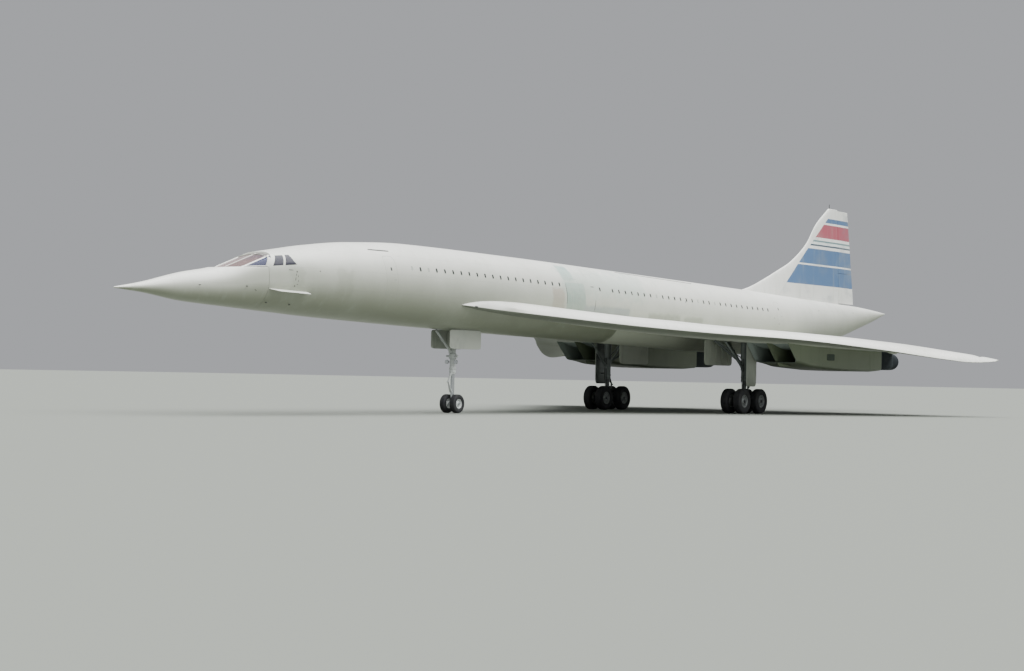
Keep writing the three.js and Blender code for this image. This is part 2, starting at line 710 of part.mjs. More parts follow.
function makeSideStay() {
  const { height, gap, front, rear, inboard, top, radius, sides, knuckle, knuckleReach } = sideStay;
  const foot = vec(gearX, gearY - mainLeg.radius - gap, height);
  const arms = [front, rear].map((x) => bar(foot, vec(gearX + x, inboard, top), radius, sides));
  const [inner, outer] = [foot.y - knuckleReach, gearY];
  const grip = box(gearX - knuckle, gearX + knuckle, inner, outer, height - knuckle, height + knuckle);
  return seat(join(...arms, grip), grownWing, mainCylinder(seatGap));
}

const dragStrut = {
  from: -70, low: 1080, to: -900, high: 1760, inset: 60, radius: 30, sides: 10,
  grip: 60, gripHalf: 35, gripLow: 1020, gripHigh: 1130,
};

function makeDragStrut() {
  const { from, low, to, high, inset, radius, sides, grip, gripHalf, gripLow, gripHigh } = dragStrut;
  const strut = bar(vec(gearX + from, gearY, low), vec(gearX + to, gearY - inset, high), radius, sides);
  const front = gearX - mainLeg.radius - grip;
  const block = box(front, gearX, gearY - gripHalf, gearY + gripHalf, gripLow, gripHigh);
  return seat(join(strut, block), grownWing, mainCylinder(seatGap));
}

const legDoor = {
  from: 18520, to: 19030, offset: 2110, low: 640, high: 1750, corner: 60, thick: 16,
  armHeights: [900, 1250], armHalf: 20,
};

function makeLegDoor() {
  const { from, to, offset, low, high, corner, thick, armHeights, armHalf } = legDoor;
  const outline = [
    [at(from), low + corner], [at(from) + corner, low], [at(to) - corner, low], [at(to), low + corner],
    [at(to), high], [at(from), high],
  ];
  const plate = sidePlate(outline, offset, offset + thick);
  const arms = armHeights.map((z) => (
    box(gearX - armHalf, gearX + armHalf, gearY, offset + thick / 2, z - armHalf, z + armHalf)));
  return seat(join(plate, ...arms), grownWing, mainCylinder(seatGap));
}

const bayDoor = { from: 18150, to: 19500, offset: 1180, low: 1130, high: 1800, corner: 60, thick: 18 };

function makeBayDoor() {
  const { from, to, offset, low, high, corner, thick } = bayDoor;
  const outline = [[at(from), high], [at(from) + corner, low], [at(to) - corner, low], [at(to), high]];
  return seat(sidePlate(outline, offset, offset + thick), grownWing, grownBody);
}

// Nose gear: the fork below steerTop turns with the wheels, and what is above it is fixed
const noseX = at(noseGearStation);
const steerTop = 900;
const noseLeg = { top: 1750, radius: 62, collarLow: 1130, collarHigh: 1230, collarRadius: 84, sides: 14 };

function noseCylinder(grow = 0) {
  const { top, radius, collarLow, collarHigh, collarRadius, sides } = noseLeg;
  const leg = bar(vec(noseX, 0, steerTop + seatGap - grow), vec(noseX, 0, top), radius + grow, sides);
  const [low, high] = [vec(noseX, 0, collarLow - grow), vec(noseX, 0, collarHigh + grow)];
  return leg.add(bar(low, high, collarRadius + grow, sides));
}

const makeNoseLeg = () => seat(noseCylinder(), grownBody);

const noseStrut = {
  from: -50, low: 1270, to: -620, high: 1760, radius: 30, sides: 10,
  grip: -120, gripHalf: 30, gripLow: 1235, gripHigh: 1310,
};

function makeNoseDragStrut() {
  const { from, low, to, high, radius, sides, grip, gripHalf, gripLow, gripHigh } = noseStrut;
  const strut = bar(vec(noseX + from, 0, low), vec(noseX + to, 0, high), radius, sides);
  const block = box(noseX + grip, noseX, -gripHalf, gripHalf, gripLow, gripHigh);
  return seat(join(strut, block), grownBody, noseCylinder(seatGap));
}

const noseFork = { radius: 44, headLow: 810, headRadius: 70, sides: 14, axleEnd: 6 };
const noseLink = { root: -30, knee: -150, high: 850, middle: 646, low: 430, radius: 14, sides: 8 };

function makeNoseFork() {
  const { radius, headLow, headRadius, sides, axleEnd } = noseFork;
  const hub = wheelHeight(noseWheel);
  const slider = bar(vec(noseX, 0, hub), vec(noseX, 0, steerTop), radius, sides);
  const head = bar(vec(noseX, 0, headLow), vec(noseX, 0, steerTop), headRadius, sides);
  const reach = noseWheel.track / 2 + noseWheel.width / 2 + axleEnd;
  const axle = bar(vec(noseX, -reach, hub), vec(noseX, reach, hub), noseWheel.axle, noseWheel.sides);
  const knee = vec(noseX + noseLink.knee, 0, noseLink.middle);
  const links = [noseLink.high, noseLink.low].map((height) => (
    bar(vec(noseX + noseLink.root, 0, height), knee, noseLink.radius, noseLink.sides)));
  return join(slider, head, axle, ...links);
}

const makeNoseWheel = (side) => placeWheel(noseWheel, noseX, (side * noseWheel.track) / 2);

const noseDoor = { from: 9250, to: 10350, offset: 235, low: 1330, high: 1760, corner: 40, thick: 12 };

function makeNoseDoor() {
  const { from, to, offset, low, high, corner, thick } = noseDoor;
  const outline = [[at(from), high], [at(from) + corner, low], [at(to) - corner, low], [at(to), high]];
  return seat(sidePlate(outline, offset, offset + thick), grownBody);
}

// Tail bumper: a short leg with two small wheels under the rear fuselage
const bumper = {
  station: 26600, height: 1190, wheelRadius: 62, wheelWidth: 40, track: 110, axle: 12, sides: 16,
  legRadius: 26, legTop: 1960, legLean: -60, eyeRadius: 34, eyeHalf: 16,
};
const bumperX = at(bumper.station);

// Round bar across the aircraft at the bumper's axle, between two distances from the centre plane
function bumperBar(yLow, yHigh, radius) {
  const { height, sides } = bumper;
  return bar(vec(bumperX, yLow, height), vec(bumperX, yHigh, height), radius, sides);
}

function makeBumperLeg() {
  const { height, axle, sides, legRadius, legTop, legLean, eyeRadius, eyeHalf } = bumper;
  const leg = bar(vec(bumperX, 0, height + axle), vec(bumperX + legLean, 0, legTop), legRadius, 10);
  const eye = bumperBar(-eyeHalf, eyeHalf, eyeRadius);
  const bore = bumperBar(-legRadius * 2, legRadius * 2, (axle + pinGap) / Math.cos(Math.PI / sides));
  return seat(join(leg, eye), bore, grownBody);
}

function makeBumperWheels() {
  const { wheelRadius, wheelWidth, track, axle } = bumper;
  const wheels = [-track / 2, track / 2].map((y) => (
    bumperBar(y - wheelWidth / 2, y + wheelWidth / 2, wheelRadius)));
  return join(bumperBar(-track / 2, track / 2, axle), ...wheels);
}

// Nose strake: a thin flat blade on each side of the fuselage behind the droop nose
const strake = { from: 3390, to: 4280, height: 2285, reach: 150, thick: 12, root: 160, front: 140, rear: 60 };

function makeStrake() {
  const { from, to, height, reach, thick, root, front, rear } = strake;
  const [low, high] = [from, to].map((station) => lookUp(bodySections, 0, 1, station));
  const outline = [
    [at(from), low - root / 2], [at(from) + front, low + reach * 0.6], [at(to) - rear, high + reach],
    [at(to), high], [at(to), high - root], [at(from), low - root],
  ];
  return seat(planPlate(outline, height, height + thick), grownBody);
}

const finMast = { setback: 60, tall: 120, radius: 9, sides: 8 };

function makeFinMast() {
  const { setback, tall, radius, sides } = finMast;
  const [height, lead] = finSections[finSections.length - 1];
  const x = at(lead + setback);
  return bar(vec(x, 0, height + seatGap), vec(x, 0, height + tall), radius, sides);
}

// Assembly

const aircraft = new THREE.Group();

function add(name, solid, material) {
  const mesh = new THREE.Mesh(toGeometry(solid), material);
  mesh.name = name;
  aircraft.add(mesh);
}

function addPair(name, solid, material) {
  add(`${name}_starboard`, solid, material);
  add(`${name}_port`, mirror(solid), material);
}

add('droop_nose', makeDroopNose(), whitePaint);
add('visor', makeVisor(), tintedGlass);
add('fuselage', makeFuselage(), whitePaint);
add('windscreen', makeWindscreen(), tintedGlass);
addPair('cockpit_side_glass', makeSideGlass(), tintedGlass);
add('tail_cone', makeTailCone(), whitePaint);
addPair('nose_strake', makeStrake(), whitePaint);

addPair('wing', makeWing(), whitePaint);
for (const row of elevonRows) addPair(`elevon_${row[0]}`, makeElevon(row), whitePaint);

add('fin', makeFin(), whitePaint);
add('rudder_lower', makeRudder(rudderFoot, rudderSplit - rudderGap), whitePaint);
add('rudder_upper', makeRudder(rudderSplit, finTipRear), whitePaint);
add('fin_tip_mast', makeFinMast(), darkMetal);

addPair('nacelle', makeNacelle(), nacellePaint);
addPair('nozzle_pair', makeNozzle(), darkMetal);
addPair('engine_inner', makeEngine(ductCentres[0]), darkMetal);
addPair('engine_outer', makeEngine(ductCentres[1]), darkMetal);

addPair('main_leg', makeMainLeg(), gearPaint);
addPair('main_side_stay', makeSideStay(), gearPaint);
addPair('main_drag_strut', makeDragStrut(), gearPaint);
addPair('main_leg_door', makeLegDoor(), gearPaint);
addPair('main_bay_door', makeBayDoor(), whitePaint);
addPair('main_bogie', makeBogie(), gearPaint);
for (const [foreAftName, foreAft] of [['front', -1], ['rear', 1]]) {
  for (const [sideName, side] of [['inner', -1], ['outer', 1]]) {
    addPair(`main_wheel_${foreAftName}_${sideName}`, makeMainWheel(foreAft, side), tyreRubber);
  }
}

add('nose_leg', makeNoseLeg(), gearPaint);
add('nose_drag_strut', makeNoseDragStrut(), gearPaint);
add('nose_fork', makeNoseFork(), gearPaint);
add('nose_wheel_starboard', makeNoseWheel(1), tyreRubber);
add('nose_wheel_port', makeNoseWheel(-1), tyreRubber);
addPair('nose_gear_door', makeNoseDoor(), whitePaint);

add('tail_bumper_leg', makeBumperLeg(), gearPaint);
add('tail_bumper_wheels', makeBumperWheels(), tyreRubber);

export default aircraft;
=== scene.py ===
# Looks of a supersonic delta-wing airliner, a 1:2 model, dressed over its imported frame.
# Shapes are worked out in millimetres as (station, offset, height). A station is a distance aft of the
# nose tip, an offset is a distance to starboard of the centre plane, and heights are above the ground.

import math
import bpy
import numpy as np
from mathutils import Matrix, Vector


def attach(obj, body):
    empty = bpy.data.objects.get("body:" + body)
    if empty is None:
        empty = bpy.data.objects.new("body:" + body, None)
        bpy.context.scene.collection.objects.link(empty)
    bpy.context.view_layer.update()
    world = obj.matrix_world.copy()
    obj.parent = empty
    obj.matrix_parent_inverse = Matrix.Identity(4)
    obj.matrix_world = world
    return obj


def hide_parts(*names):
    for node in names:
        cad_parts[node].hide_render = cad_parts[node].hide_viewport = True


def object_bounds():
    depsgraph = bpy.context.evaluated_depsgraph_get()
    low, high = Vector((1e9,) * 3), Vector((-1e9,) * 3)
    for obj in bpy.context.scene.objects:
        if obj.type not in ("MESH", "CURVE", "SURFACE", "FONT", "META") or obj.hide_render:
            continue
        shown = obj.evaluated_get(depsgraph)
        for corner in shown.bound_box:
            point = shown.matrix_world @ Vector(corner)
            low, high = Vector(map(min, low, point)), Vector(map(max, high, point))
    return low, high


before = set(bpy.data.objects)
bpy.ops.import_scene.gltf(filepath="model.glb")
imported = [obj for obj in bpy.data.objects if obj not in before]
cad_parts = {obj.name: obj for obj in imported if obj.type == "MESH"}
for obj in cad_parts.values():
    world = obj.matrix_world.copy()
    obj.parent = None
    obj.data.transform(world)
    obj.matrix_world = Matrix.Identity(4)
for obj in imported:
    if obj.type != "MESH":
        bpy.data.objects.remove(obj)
cadLow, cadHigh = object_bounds()
mm = 0.001
noseTip = cadLow.x
sideSigns = {"starboard": 1, "port": -1}
print("frame loaded:", len(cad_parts), "nodes")


# Mesh building

def pointsAt(station, offset, height):
    # points from three arrays of coordinates, stretched to one shape
    return np.stack(np.broadcast_arrays(station, offset, height), axis=-1)


def gridQuads(rows, columns, roundRows):
    # corner numbers of a grid's quads; each row goes on round to its first point, and with roundRows the
    # last row goes on to the first
    i = np.arange(rows - (0 if roundRows else 1))[:, None]
    j = np.arange(columns)
    nextRow = (i + 1) % rows
    nextColumn = (j + 1) % columns
    corners = [i * columns + j, i * columns + nextColumn,
               nextRow * columns + nextColumn, nextRow * columns + j]
    return np.stack(np.broadcast_arrays(*corners), axis=-1).reshape(-1, 4)


def surface(grid, finish=0, roundRows=False):
    # quads over a grid of points, or over several such grids at once. Each closed grid is turned right
    # side out by the sign of its volume, the sum of a . (b x c + c x d) over its quads a b c d.
    rows, columns = grid.shape[-3:-1]
    copies = grid.reshape(-1, rows * columns, 3)
    quads = gridQuads(rows, columns, roundRows)
    a, b, c, d = np.moveaxis((copies - copies.mean(axis=1, keepdims=True))[:, quads], 2, 0)
    inward = (a * (np.cross(b, c) + np.cross(c, d))).sum(axis=(1, 2)) < 0
    facing = np.where(inward[:, None, None], quads[:, ::-1], quads)
    facing = facing + (np.arange(len(copies)) * rows * columns)[:, None, None]
    finishes = np.broadcast_to(finish, (len(copies), len(quads))).reshape(-1)
    return copies.reshape(-1, 3), facing.reshape(-1, 4), finishes


def capped(grid):
    # an extra first and last row, each drawn together to the middle of the end row, closes a tube
    first = np.broadcast_to(grid[..., :1, :, :].mean(axis=-2, keepdims=True), grid[..., :1, :, :].shape)
    last = np.broadcast_to(grid[..., -1:, :, :].mean(axis=-2, keepdims=True), grid[..., -1:, :, :].shape)
    return np.concatenate([first, grid, last], axis=-3)


def slab(top, under):
    # closed plate between two grids of the same shape, its first and last row closed along their middle
    ring = np.concatenate([top, under[..., ::-1, :]], axis=-2)
    half = (top + under) / 2
    seam = np.concatenate([half, half[..., ::-1, :]], axis=-2)
    return np.concatenate([seam[..., :1, :, :], ring, seam[..., -1:, :, :]], axis=-3)


def weld(points, quads):
    # equal points become one, and a quad whose corners fall together becomes a triangle or nothing
    merged, number = np.unique(np.round(points, 3), axis=0, return_inverse=True)
    corner = number.reshape(-1)[quads]
    kept = corner != np.roll(corner, -1, axis=1)
    whole = kept.sum(axis=1) >= 3
    return merged, corner[whole], kept[whole], whole


def makePiece(name, parts, finishes, body, replaces=(), sharp=35):
    # one object from several closed parts, in the frame's metres
    points, corners, counts, numbers = [], [], [], []
    start = 0
    for partPoints, quads, finish in parts:
        merged, corner, kept, whole = weld(partPoints, quads)
        points.append(merged)
        corners.append(corner[kept] + start)
        counts.append(kept.sum(axis=1))
        numbers.append(finish[whole])
        start += len(merged)
    place = (np.concatenate(points) * mm + [noseTip, 0, 0]).astype(np.float32)
    corners = np.concatenate(corners).astype(np.int32)
    counts = np.concatenate(counts)
    starts = np.concatenate([[0], np.cumsum(counts)[:-1]]).astype(np.int32)
    mesh = bpy.data.meshes.new(name)
    mesh.vertices.add(len(place))
    mesh.vertices.foreach_set("co", place.ravel())
    mesh.loops.add(len(corners))
    mesh.polygons.add(len(counts))
    mesh.polygons.foreach_set("loop_start", starts)
    mesh.polygons.foreach_set("vertices", corners)
    mesh.polygons.foreach_set("material_index", np.concatenate(numbers).astype(np.int32))
    mesh.polygons.foreach_set("use_smooth", np.ones(len(counts), bool))
    mesh.update(calc_edges=True)
    mesh.validate()
    mesh.set_sharp_from_angle(angle=math.radians(sharp))
    for finish in finishes:
        mesh.materials.append(finish)
    piece = bpy.data.objects.new(name, mesh)
    bpy.context.scene.collection.objects.link(piece)
    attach(piece, body)
    if replaces:
        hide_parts(*replaces)


def makePair(name, build, finishes, node="", body="airframe"):
    # the same piece on both sides, starboard first: build gives the parts of the side that it is handed
    for sideName, side in sideSigns.items():
        nodes = [node + "_" + sideName] if node else []
        makePiece(name + "_" + sideName, build(side), finishes, body, nodes)


def smoothColumn(table, column, place):
    # monotone cubic through a table's rows: a row's slope is the harmonic mean of the slopes beside it,
    # and level where they differ in sign, so the curve never swings past the rows
    x, y = table[:, 0], table[:, column]
    step = np.diff(x)
    rise = np.diff(y) / step
    product = rise[1:] * rise[:-1]
    total = np.where(product > 0, rise[1:] + rise[:-1], 1.0)
    slope = np.concatenate([rise[:1], np.where(product > 0, 2 * product / total, 0.0), rise[-1:]])
    place = np.clip(place, x[0], x[-1])
    k = np.clip(np.searchsorted(x, place) - 1, 0, len(step) - 1)
    t = (place - x[k]) / step[k]
    bend = t * t * (3 - 2 * t)
    swing = step[k] * (t * (1 - t) ** 2 * slope[k] - t * t * (1 - t) * slope[k + 1])
    return y[k] * (1 - bend) + y[k + 1] * bend + swing


def power(value, exponent):
    # a signed power, for superellipses
    return np.sign(value) * np.abs(value) ** exponent


def outline(turns, square):
    # points at even steps along a unit superellipse, a circle at square 2 and nearly a square at 10
    turn = np.linspace(0, 2 * np.pi, 2881)
    x, y = power(np.cos(turn), 2 / square), power(np.sin(turn), 2 / square)
    length = np.concatenate([[0], np.cumsum(np.hypot(np.diff(x), np.diff(y)))])
    even = np.linspace(0, length[-1], turns, endpoint=False)
    return np.interp(even, length, x), np.interp(even, length, y)


def limb(path, wide, thick=None, side=(0, 1, 0), square=2.0, turns=20, bevel=0.0, finish=0):
    # a superellipse carried along a path: wide is its half size along side and thick across that, and
    # both are smaller by the bevel at the two ends
    path = np.array(path, float)
    wide = np.broadcast_to(np.array(wide, float), len(path))
    thick = wide if thick is None else np.broadcast_to(np.array(thick, float), len(path))
    if bevel:
        ahead = bevel * (path[1] - path[0]) / np.linalg.norm(path[1] - path[0])
        astern = bevel * (path[-1] - path[-2]) / np.linalg.norm(path[-1] - path[-2])
        path = np.concatenate([path[:1], path[:1] + ahead, path[1:-1], path[-1:] - astern, path[-1:]])
        wide = np.concatenate([wide[:1] - bevel, wide, wide[-1:] - bevel])
        thick = np.concatenate([thick[:1] - bevel, thick, thick[-1:] - bevel])
    along = np.gradient(path, axis=0)
    along /= np.linalg.norm(along, axis=1, keepdims=True)
    across = np.array(side, float) - (along @ np.array(side, float))[:, None] * along
    across /= np.linalg.norm(across, axis=1, keepdims=True)
    third = np.cross(along, across)
    x, y = outline(turns, square)
    grid = (path[:, None, :] + across[:, None, :] * (wide[:, None] * x)[..., None]
            + third[:, None, :] * (thick[:, None] * y)[..., None])
    return surface(capped(grid), finish)


def turned(profile, centre, turns=40, finish=0):
    # a closed profile, rows of (radius, offset), turned about the axle line through centre
    radius, offset = np.array(profile, float).T
    turn = np.linspace(0, 2 * np.pi, turns, endpoint=False)
    grid = pointsAt(centre[0] + radius[:, None] * np.cos(turn), centre[1] + offset[:, None],
                    centre[2] + radius[:, None] * np.sin(turn))
    return surface(grid, finish, roundRows=True)


def plate(centre, halfLong, halfTall, thick, square, turns, faces=(0, 0)):
    # upright plate in a fore-and-aft plane, with rounded corners and a small bevel round its rim; faces
    # are the finishes of its starboard and port face
    x, y = outline(turns, square)
    edge = min(3.0, thick / 3)
    scale = np.array([0, 1 - edge / halfLong, 1, 1, 1 - edge / halfLong, 0])
    depth = np.array([thick / 2, thick / 2, thick / 2 - edge, edge - thick / 2, -thick / 2, -thick / 2])
    grid = pointsAt(centre[0] + halfLong * scale[:, None] * x, centre[1] + depth[:, None],
                    centre[2] + halfTall * scale[:, None] * y)
    return surface(grid, np.repeat([faces[0], faces[0], faces[0], faces[1], faces[1]], turns))


def block(stations, offsets, heights, bevel=4.0, finish=0):
    # box with rounded edges between two stations, two offsets and two heights, each pair in either order
    low, high = np.sort(np.array([stations, offsets, heights], float), axis=1).T
    (_, y, z), half = (low + high) / 2, (high - low) / 2
    bevel = min(bevel, half.min() / 2)
    return limb([[low[0], y, z], [high[0], y, z]], half[1], half[2], square=9, turns=24, bevel=bevel,
                finish=finish)


def span(middle, half):
    return middle - half, middle + half


def strut(foot, head, rows, **looks):
    # round bar from foot towards head: rows are the share of the way and the radius there
    foot, head = np.array(foot, float), np.array(head, float)
    share, radius = np.array(rows, float).T
    return limb(foot + (head - foot) * share[:, None], radius, **looks)


def crossPin(station, offset, height, reach, radius, **looks):
    # round pin across the aircraft, reaching as far to both sides of an offset
    ends = [[station, offset - reach, height], [station, offset + reach, height]]
    return limb(ends, radius, side=(1, 0, 0), **looks)


def upright(station, offset, rows, finish=0, turns=28):
    # round post: rows of (height, radius) from the top down
    path = [[station, offset, height] for height, _ in rows]
    return limb(path, [radius for _, radius in rows], turns=turns, finish=finish)


# Materials

def tone(code):
    # linear colour of a six-digit screen colour
    parts = [int(code[k:k + 2], 16) / 255 for k in (0, 2, 4)]
    return [p / 12.92 if p <= 0.04045 else ((p + 0.055) / 1.055) ** 2.4 for p in parts] + [1.0]


def put(tree, kind, inputs=(), **settings):
    # a node with its settings; an input given as a socket is linked, any other value is set
    node = tree.nodes.new(kind)
    for name, value in settings.items():
        setattr(node, name, value)
    for name, value in dict(inputs).items():
        if isinstance(value, bpy.types.NodeSocket):
            tree.links.new(value, node.inputs[name])
        else:
            node.inputs[name].default_value = value
    return node


def reckon(tree, operation, *values):
    # result of one Math node
    node = put(tree, "ShaderNodeMath", dict(enumerate(values)), operation=operation)
    return node.outputs[0]


def between(tree, value, low, high, out=(0.0, 1.0)):
    # smooth step from the first of out to the second as value goes from low to high
    inputs = {"Value": value, "From Min": low, "From Max": high, "To Min": out[0], "To Max": out[1]}
    return put(tree, "ShaderNodeMapRange", inputs, interpolation_type="SMOOTHSTEP").outputs[0]


def blend(tree, share, first, second):
    # colour between two others
    node = put(tree, "ShaderNodeMix", {0: share, 6: first, 7: second}, data_type="RGBA")
    return node.outputs[2]


def cloud(tree, scale, stretch=(1, 1, 1), detail=4.0, rough=0.55):
    # noise on Object coordinates, with its own stretch along each axis
    place = put(tree, "ShaderNodeTexCoord").outputs["Object"]
    placed = put(tree, "ShaderNodeMapping", {"Vector": place, "Scale": stretch}).outputs[0]
    inputs = {"Vector": placed, "Scale": scale, "Detail": detail, "Roughness": rough}
    return put(tree, "ShaderNodeTexNoise", inputs).outputs[0]


def rampOver(tree, value, low, high, rows, kind="LINEAR"):
    # colour along a value that goes from low to high; rows say at which value a colour stands
    inputs = {"Value": value, "From Min": low, "From Max": high}
    place = put(tree, "ShaderNodeMapRange", inputs).outputs[0]
    node = put(tree, "ShaderNodeValToRGB", {0: place})
    node.color_ramp.interpolation = kind
    elements = node.color_ramp.elements
    while len(elements) < len(rows):
        elements.new(0.5)
    for element, (level, shade) in zip(elements, rows):
        element.position = (level - low) / (high - low)
        element.color = shade
    return node.outputs[0]


def makeGroup(name, inputs, outputs, build):
    # shared effect: inputs are rows of name, socket type and default, outputs rows of name and type
    group = bpy.data.node_groups.new(name, "ShaderNodeTree")
    for label, kind, value in inputs:
        group.interface.new_socket(name=label, in_out="INPUT", socket_type=kind).default_value = value
    for label, kind in outputs:
        group.interface.new_socket(name=label, in_out="OUTPUT", socket_type=kind)
    given = group.nodes.new("NodeGroupInput").outputs
    taken = group.nodes.new("NodeGroupOutput").inputs
    for label, socket in build(group, given).items():
        group.links.new(socket, taken[label])
    return group


number, colour, vector = "NodeSocketFloat", "NodeSocketColor", "NodeSocketVector"


def buildGrime(tree, given):
    # soft blotches, and streaks that run down, each as a share of the grime colour
    blotch = between(tree, cloud(tree, 0.9, detail=8.0), 0.45, 0.75)
    fine = between(tree, cloud(tree, 9.0, detail=6.0), 0.4, 0.8)
    streak = between(tree, cloud(tree, 5.0, (1.0, 1.0, 0.12), detail=6.0), 0.52, 0.75)
    share = reckon(tree, "MULTIPLY", blotch, given["Blotches"])
    share = reckon(tree, "ADD", share, reckon(tree, "MULTIPLY", streak, given["Streaks"]))
    share = reckon(tree, "MULTIPLY", share, reckon(tree, "ADD", 0.6, reckon(tree, "MULTIPLY", fine, 0.6)))
    share = reckon(tree, "MINIMUM", share, 1.0)
    return {"Colour": blend(tree, share, given["Colour"], given["Grime colour"]), "Share": share}


def buildUnderside(tree, given):
    # 1 where the surface faces the ground, by its own normal, with a soft cloudy edge: where the paint
    # takes on a painted shade, with some dirt
    normal = put(tree, "ShaderNodeTexCoord").outputs["Normal"]
    facing = put(tree, "ShaderNodeSeparateXYZ", {0: normal}).outputs[2]
    wobble = reckon(tree, "MULTIPLY", reckon(tree, "SUBTRACT", cloud(tree, 1.6, detail=6.0), 0.5), 0.3)
    down = reckon(tree, "ADD", reckon(tree, "MULTIPLY", facing, -1.0), wobble)
    return {"Share": between(tree, down, given["From"], given["To"])}


def buildPatch(tree, given):
    # 1 inside a box in the frame, with a worn, wavering edge
    place = put(tree, "ShaderNodeTexCoord").outputs["Object"]
    noise = put(tree, "ShaderNodeTexNoise", {"Vector": place, "Scale": 6.0, "Detail": 6.0}).outputs["Color"]
    for operation, inputs in (("SUBTRACT", {1: (0.5, 0.5, 0.5)}), ("SCALE", {"Scale": given["Wobble"]}),
                              ("ADD", {1: place})):
        noise = put(tree, "ShaderNodeVectorMath", {0: noise} | inputs, operation=operation).outputs[0]
    corners = (noise, given["Low"], given["High"])
    parts = [put(tree, "ShaderNodeSeparateXYZ", {0: corner}).outputs for corner in corners]
    share = 1.0
    for axis in range(3):
        value, low, high = (part[axis] for part in parts)
        rise = between(tree, value, reckon(tree, "SUBTRACT", low, given["Soft"]),
                       reckon(tree, "ADD", low, given["Soft"]))
        fall = between(tree, value, reckon(tree, "SUBTRACT", high, given["Soft"]),
                       reckon(tree, "ADD", high, given["Soft"]), (1.0, 0.0))
        share = reckon(tree, "MULTIPLY", share, reckon(tree, "MULTIPLY", rise, fall))
    return {"Share": share}


def buildSeams(tree, given):
    # thin lines across every so many metres fore and aft, and along at even heights
    place = put(tree, "ShaderNodeTexCoord").outputs["Object"]
    axes = put(tree, "ShaderNodeSeparateXYZ", {0: place}).outputs
    lines = []
    for axis, pitch in ((0, given["Pitch along"]), (2, given["Pitch up"])):
        cell = reckon(tree, "FRACT", reckon(tree, "DIVIDE", reckon(tree, "ADD", axes[axis], 50.0), pitch))
        away = reckon(tree, "ABSOLUTE", reckon(tree, "SUBTRACT", cell, 0.5))
        away = reckon(tree, "MULTIPLY", away, pitch)
        lines.append(between(tree, away, 0.0, given["Width"], (1.0, 0.0)))
    return {"Share": reckon(tree, "MAXIMUM", *lines)}


grimeGroup = makeGroup(
    "paintGrime",
    [("Colour", colour, tone("DFE0DA")), ("Grime colour", colour, tone("8D9283")),
     ("Blotches", number, 0.3), ("Streaks", number, 0.3)],
    [("Colour", colour), ("Share", number)], buildGrime)
undersideGroup = makeGroup(
    "undersideShade", [("From", number, 0.0), ("To", number, 1.0)], [("Share", number)], buildUnderside)
patchGroup = makeGroup(
    "paintPatch",
    [("Low", vector, (0, 0, 0)), ("High", vector, (1, 1, 1)),
     ("Soft", number, 0.02), ("Wobble", number, 0.1)],
    [("Share", number)], buildPatch)
seamGroup = makeGroup(
    "skinSeams",
    [("Pitch along", number, 1.1), ("Pitch up", number, 0.4), ("Width", number, 0.003)],
    [("Share", number)], buildSeams)


def fillGroup(tree, group, inputs):
    # outputs of a group node with its own values
    return put(tree, "ShaderNodeGroup", inputs, node_tree=group).outputs


def newMaterial(name, screenColour):
    # material with an empty tree but for its shader; screenColour is what a plain viewport shows
    material = bpy.data.materials.new(name)
    material.use_nodes = True
    material.diffuse_color = tone(screenColour)
    tree = material.node_tree
    tree.nodes.clear()
    shader = tree.nodes.new("ShaderNodeBsdfPrincipled")
    out = tree.nodes.new("ShaderNodeOutputMaterial")
    tree.links.new(shader.outputs[0], out.inputs[0])
    return material, tree, shader


def bump(tree, shader, height, strength=0.3, distance=0.004):
    node = put(tree, "ShaderNodeBump", {"Height": height, "Strength": strength, "Distance": distance})
    tree.links.new(node.outputs[0], shader.inputs["Normal"])


def paintMaterial(name, look):
    # weathered gloss paint: seams, grime, painted shade with some dirt on surfaces that face down, and
    # patches of other paint
    material, tree, shader = newMaterial(name, look["colour"])
    shade = tone(look["colour"])
    if "bands" in look:
        shade = look["bands"](tree)
    for low, high, patchColour, amount, soft, wobble in look.get("patches", ()):
        inputs = {"Low": low, "High": high, "Soft": soft, "Wobble": wobble}
        share = reckon(tree, "MULTIPLY", fillGroup(tree, patchGroup, inputs)["Share"], amount)
        shade = blend(tree, share, shade, tone(patchColour))
    # the underside darkens by its normal: painted shade, with some dirt
    down = fillGroup(tree, undersideGroup, {"From": look["underFrom"], "To": look["underTo"]})["Share"]
    down = reckon(tree, "MULTIPLY", down, look["underShadeAndDirtAmount"])
    shade = blend(tree, down, shade, tone(look["underShadeAndDirtColour"]))
    inputs = {"Colour": shade, "Grime colour": tone(look["grime"]),
              "Blotches": look["blotches"], "Streaks": look["streaks"]}
    grime = fillGroup(tree, grimeGroup, inputs)
    inputs = {"Pitch along": look["pitchAlong"], "Pitch up": look["pitchUp"], "Width": 0.0025}
    seams = fillGroup(tree, seamGroup, inputs)["Share"]
    seamShade = blend(tree, reckon(tree, "MULTIPLY", seams, look["seams"]), grime["Colour"], tone("6F736C"))
    tree.links.new(seamShade, shader.inputs["Base Color"])
    rough = between(tree, grime["Share"], 0.0, 1.0, (look["rough"], look["rough"] + 0.25))
    tree.links.new(rough, shader.inputs["Roughness"])
    shader.inputs["Coat Weight"].default_value = look.get("coat", 0.15)
    shader.inputs["Coat Roughness"].default_value = 0.3
    ripple = reckon(tree, "SUBTRACT", cloud(tree, 3.0, detail=2.0), reckon(tree, "MULTIPLY", seams, 0.6))
    bump(tree, shader, ripple, 0.25, 0.003)
    return material


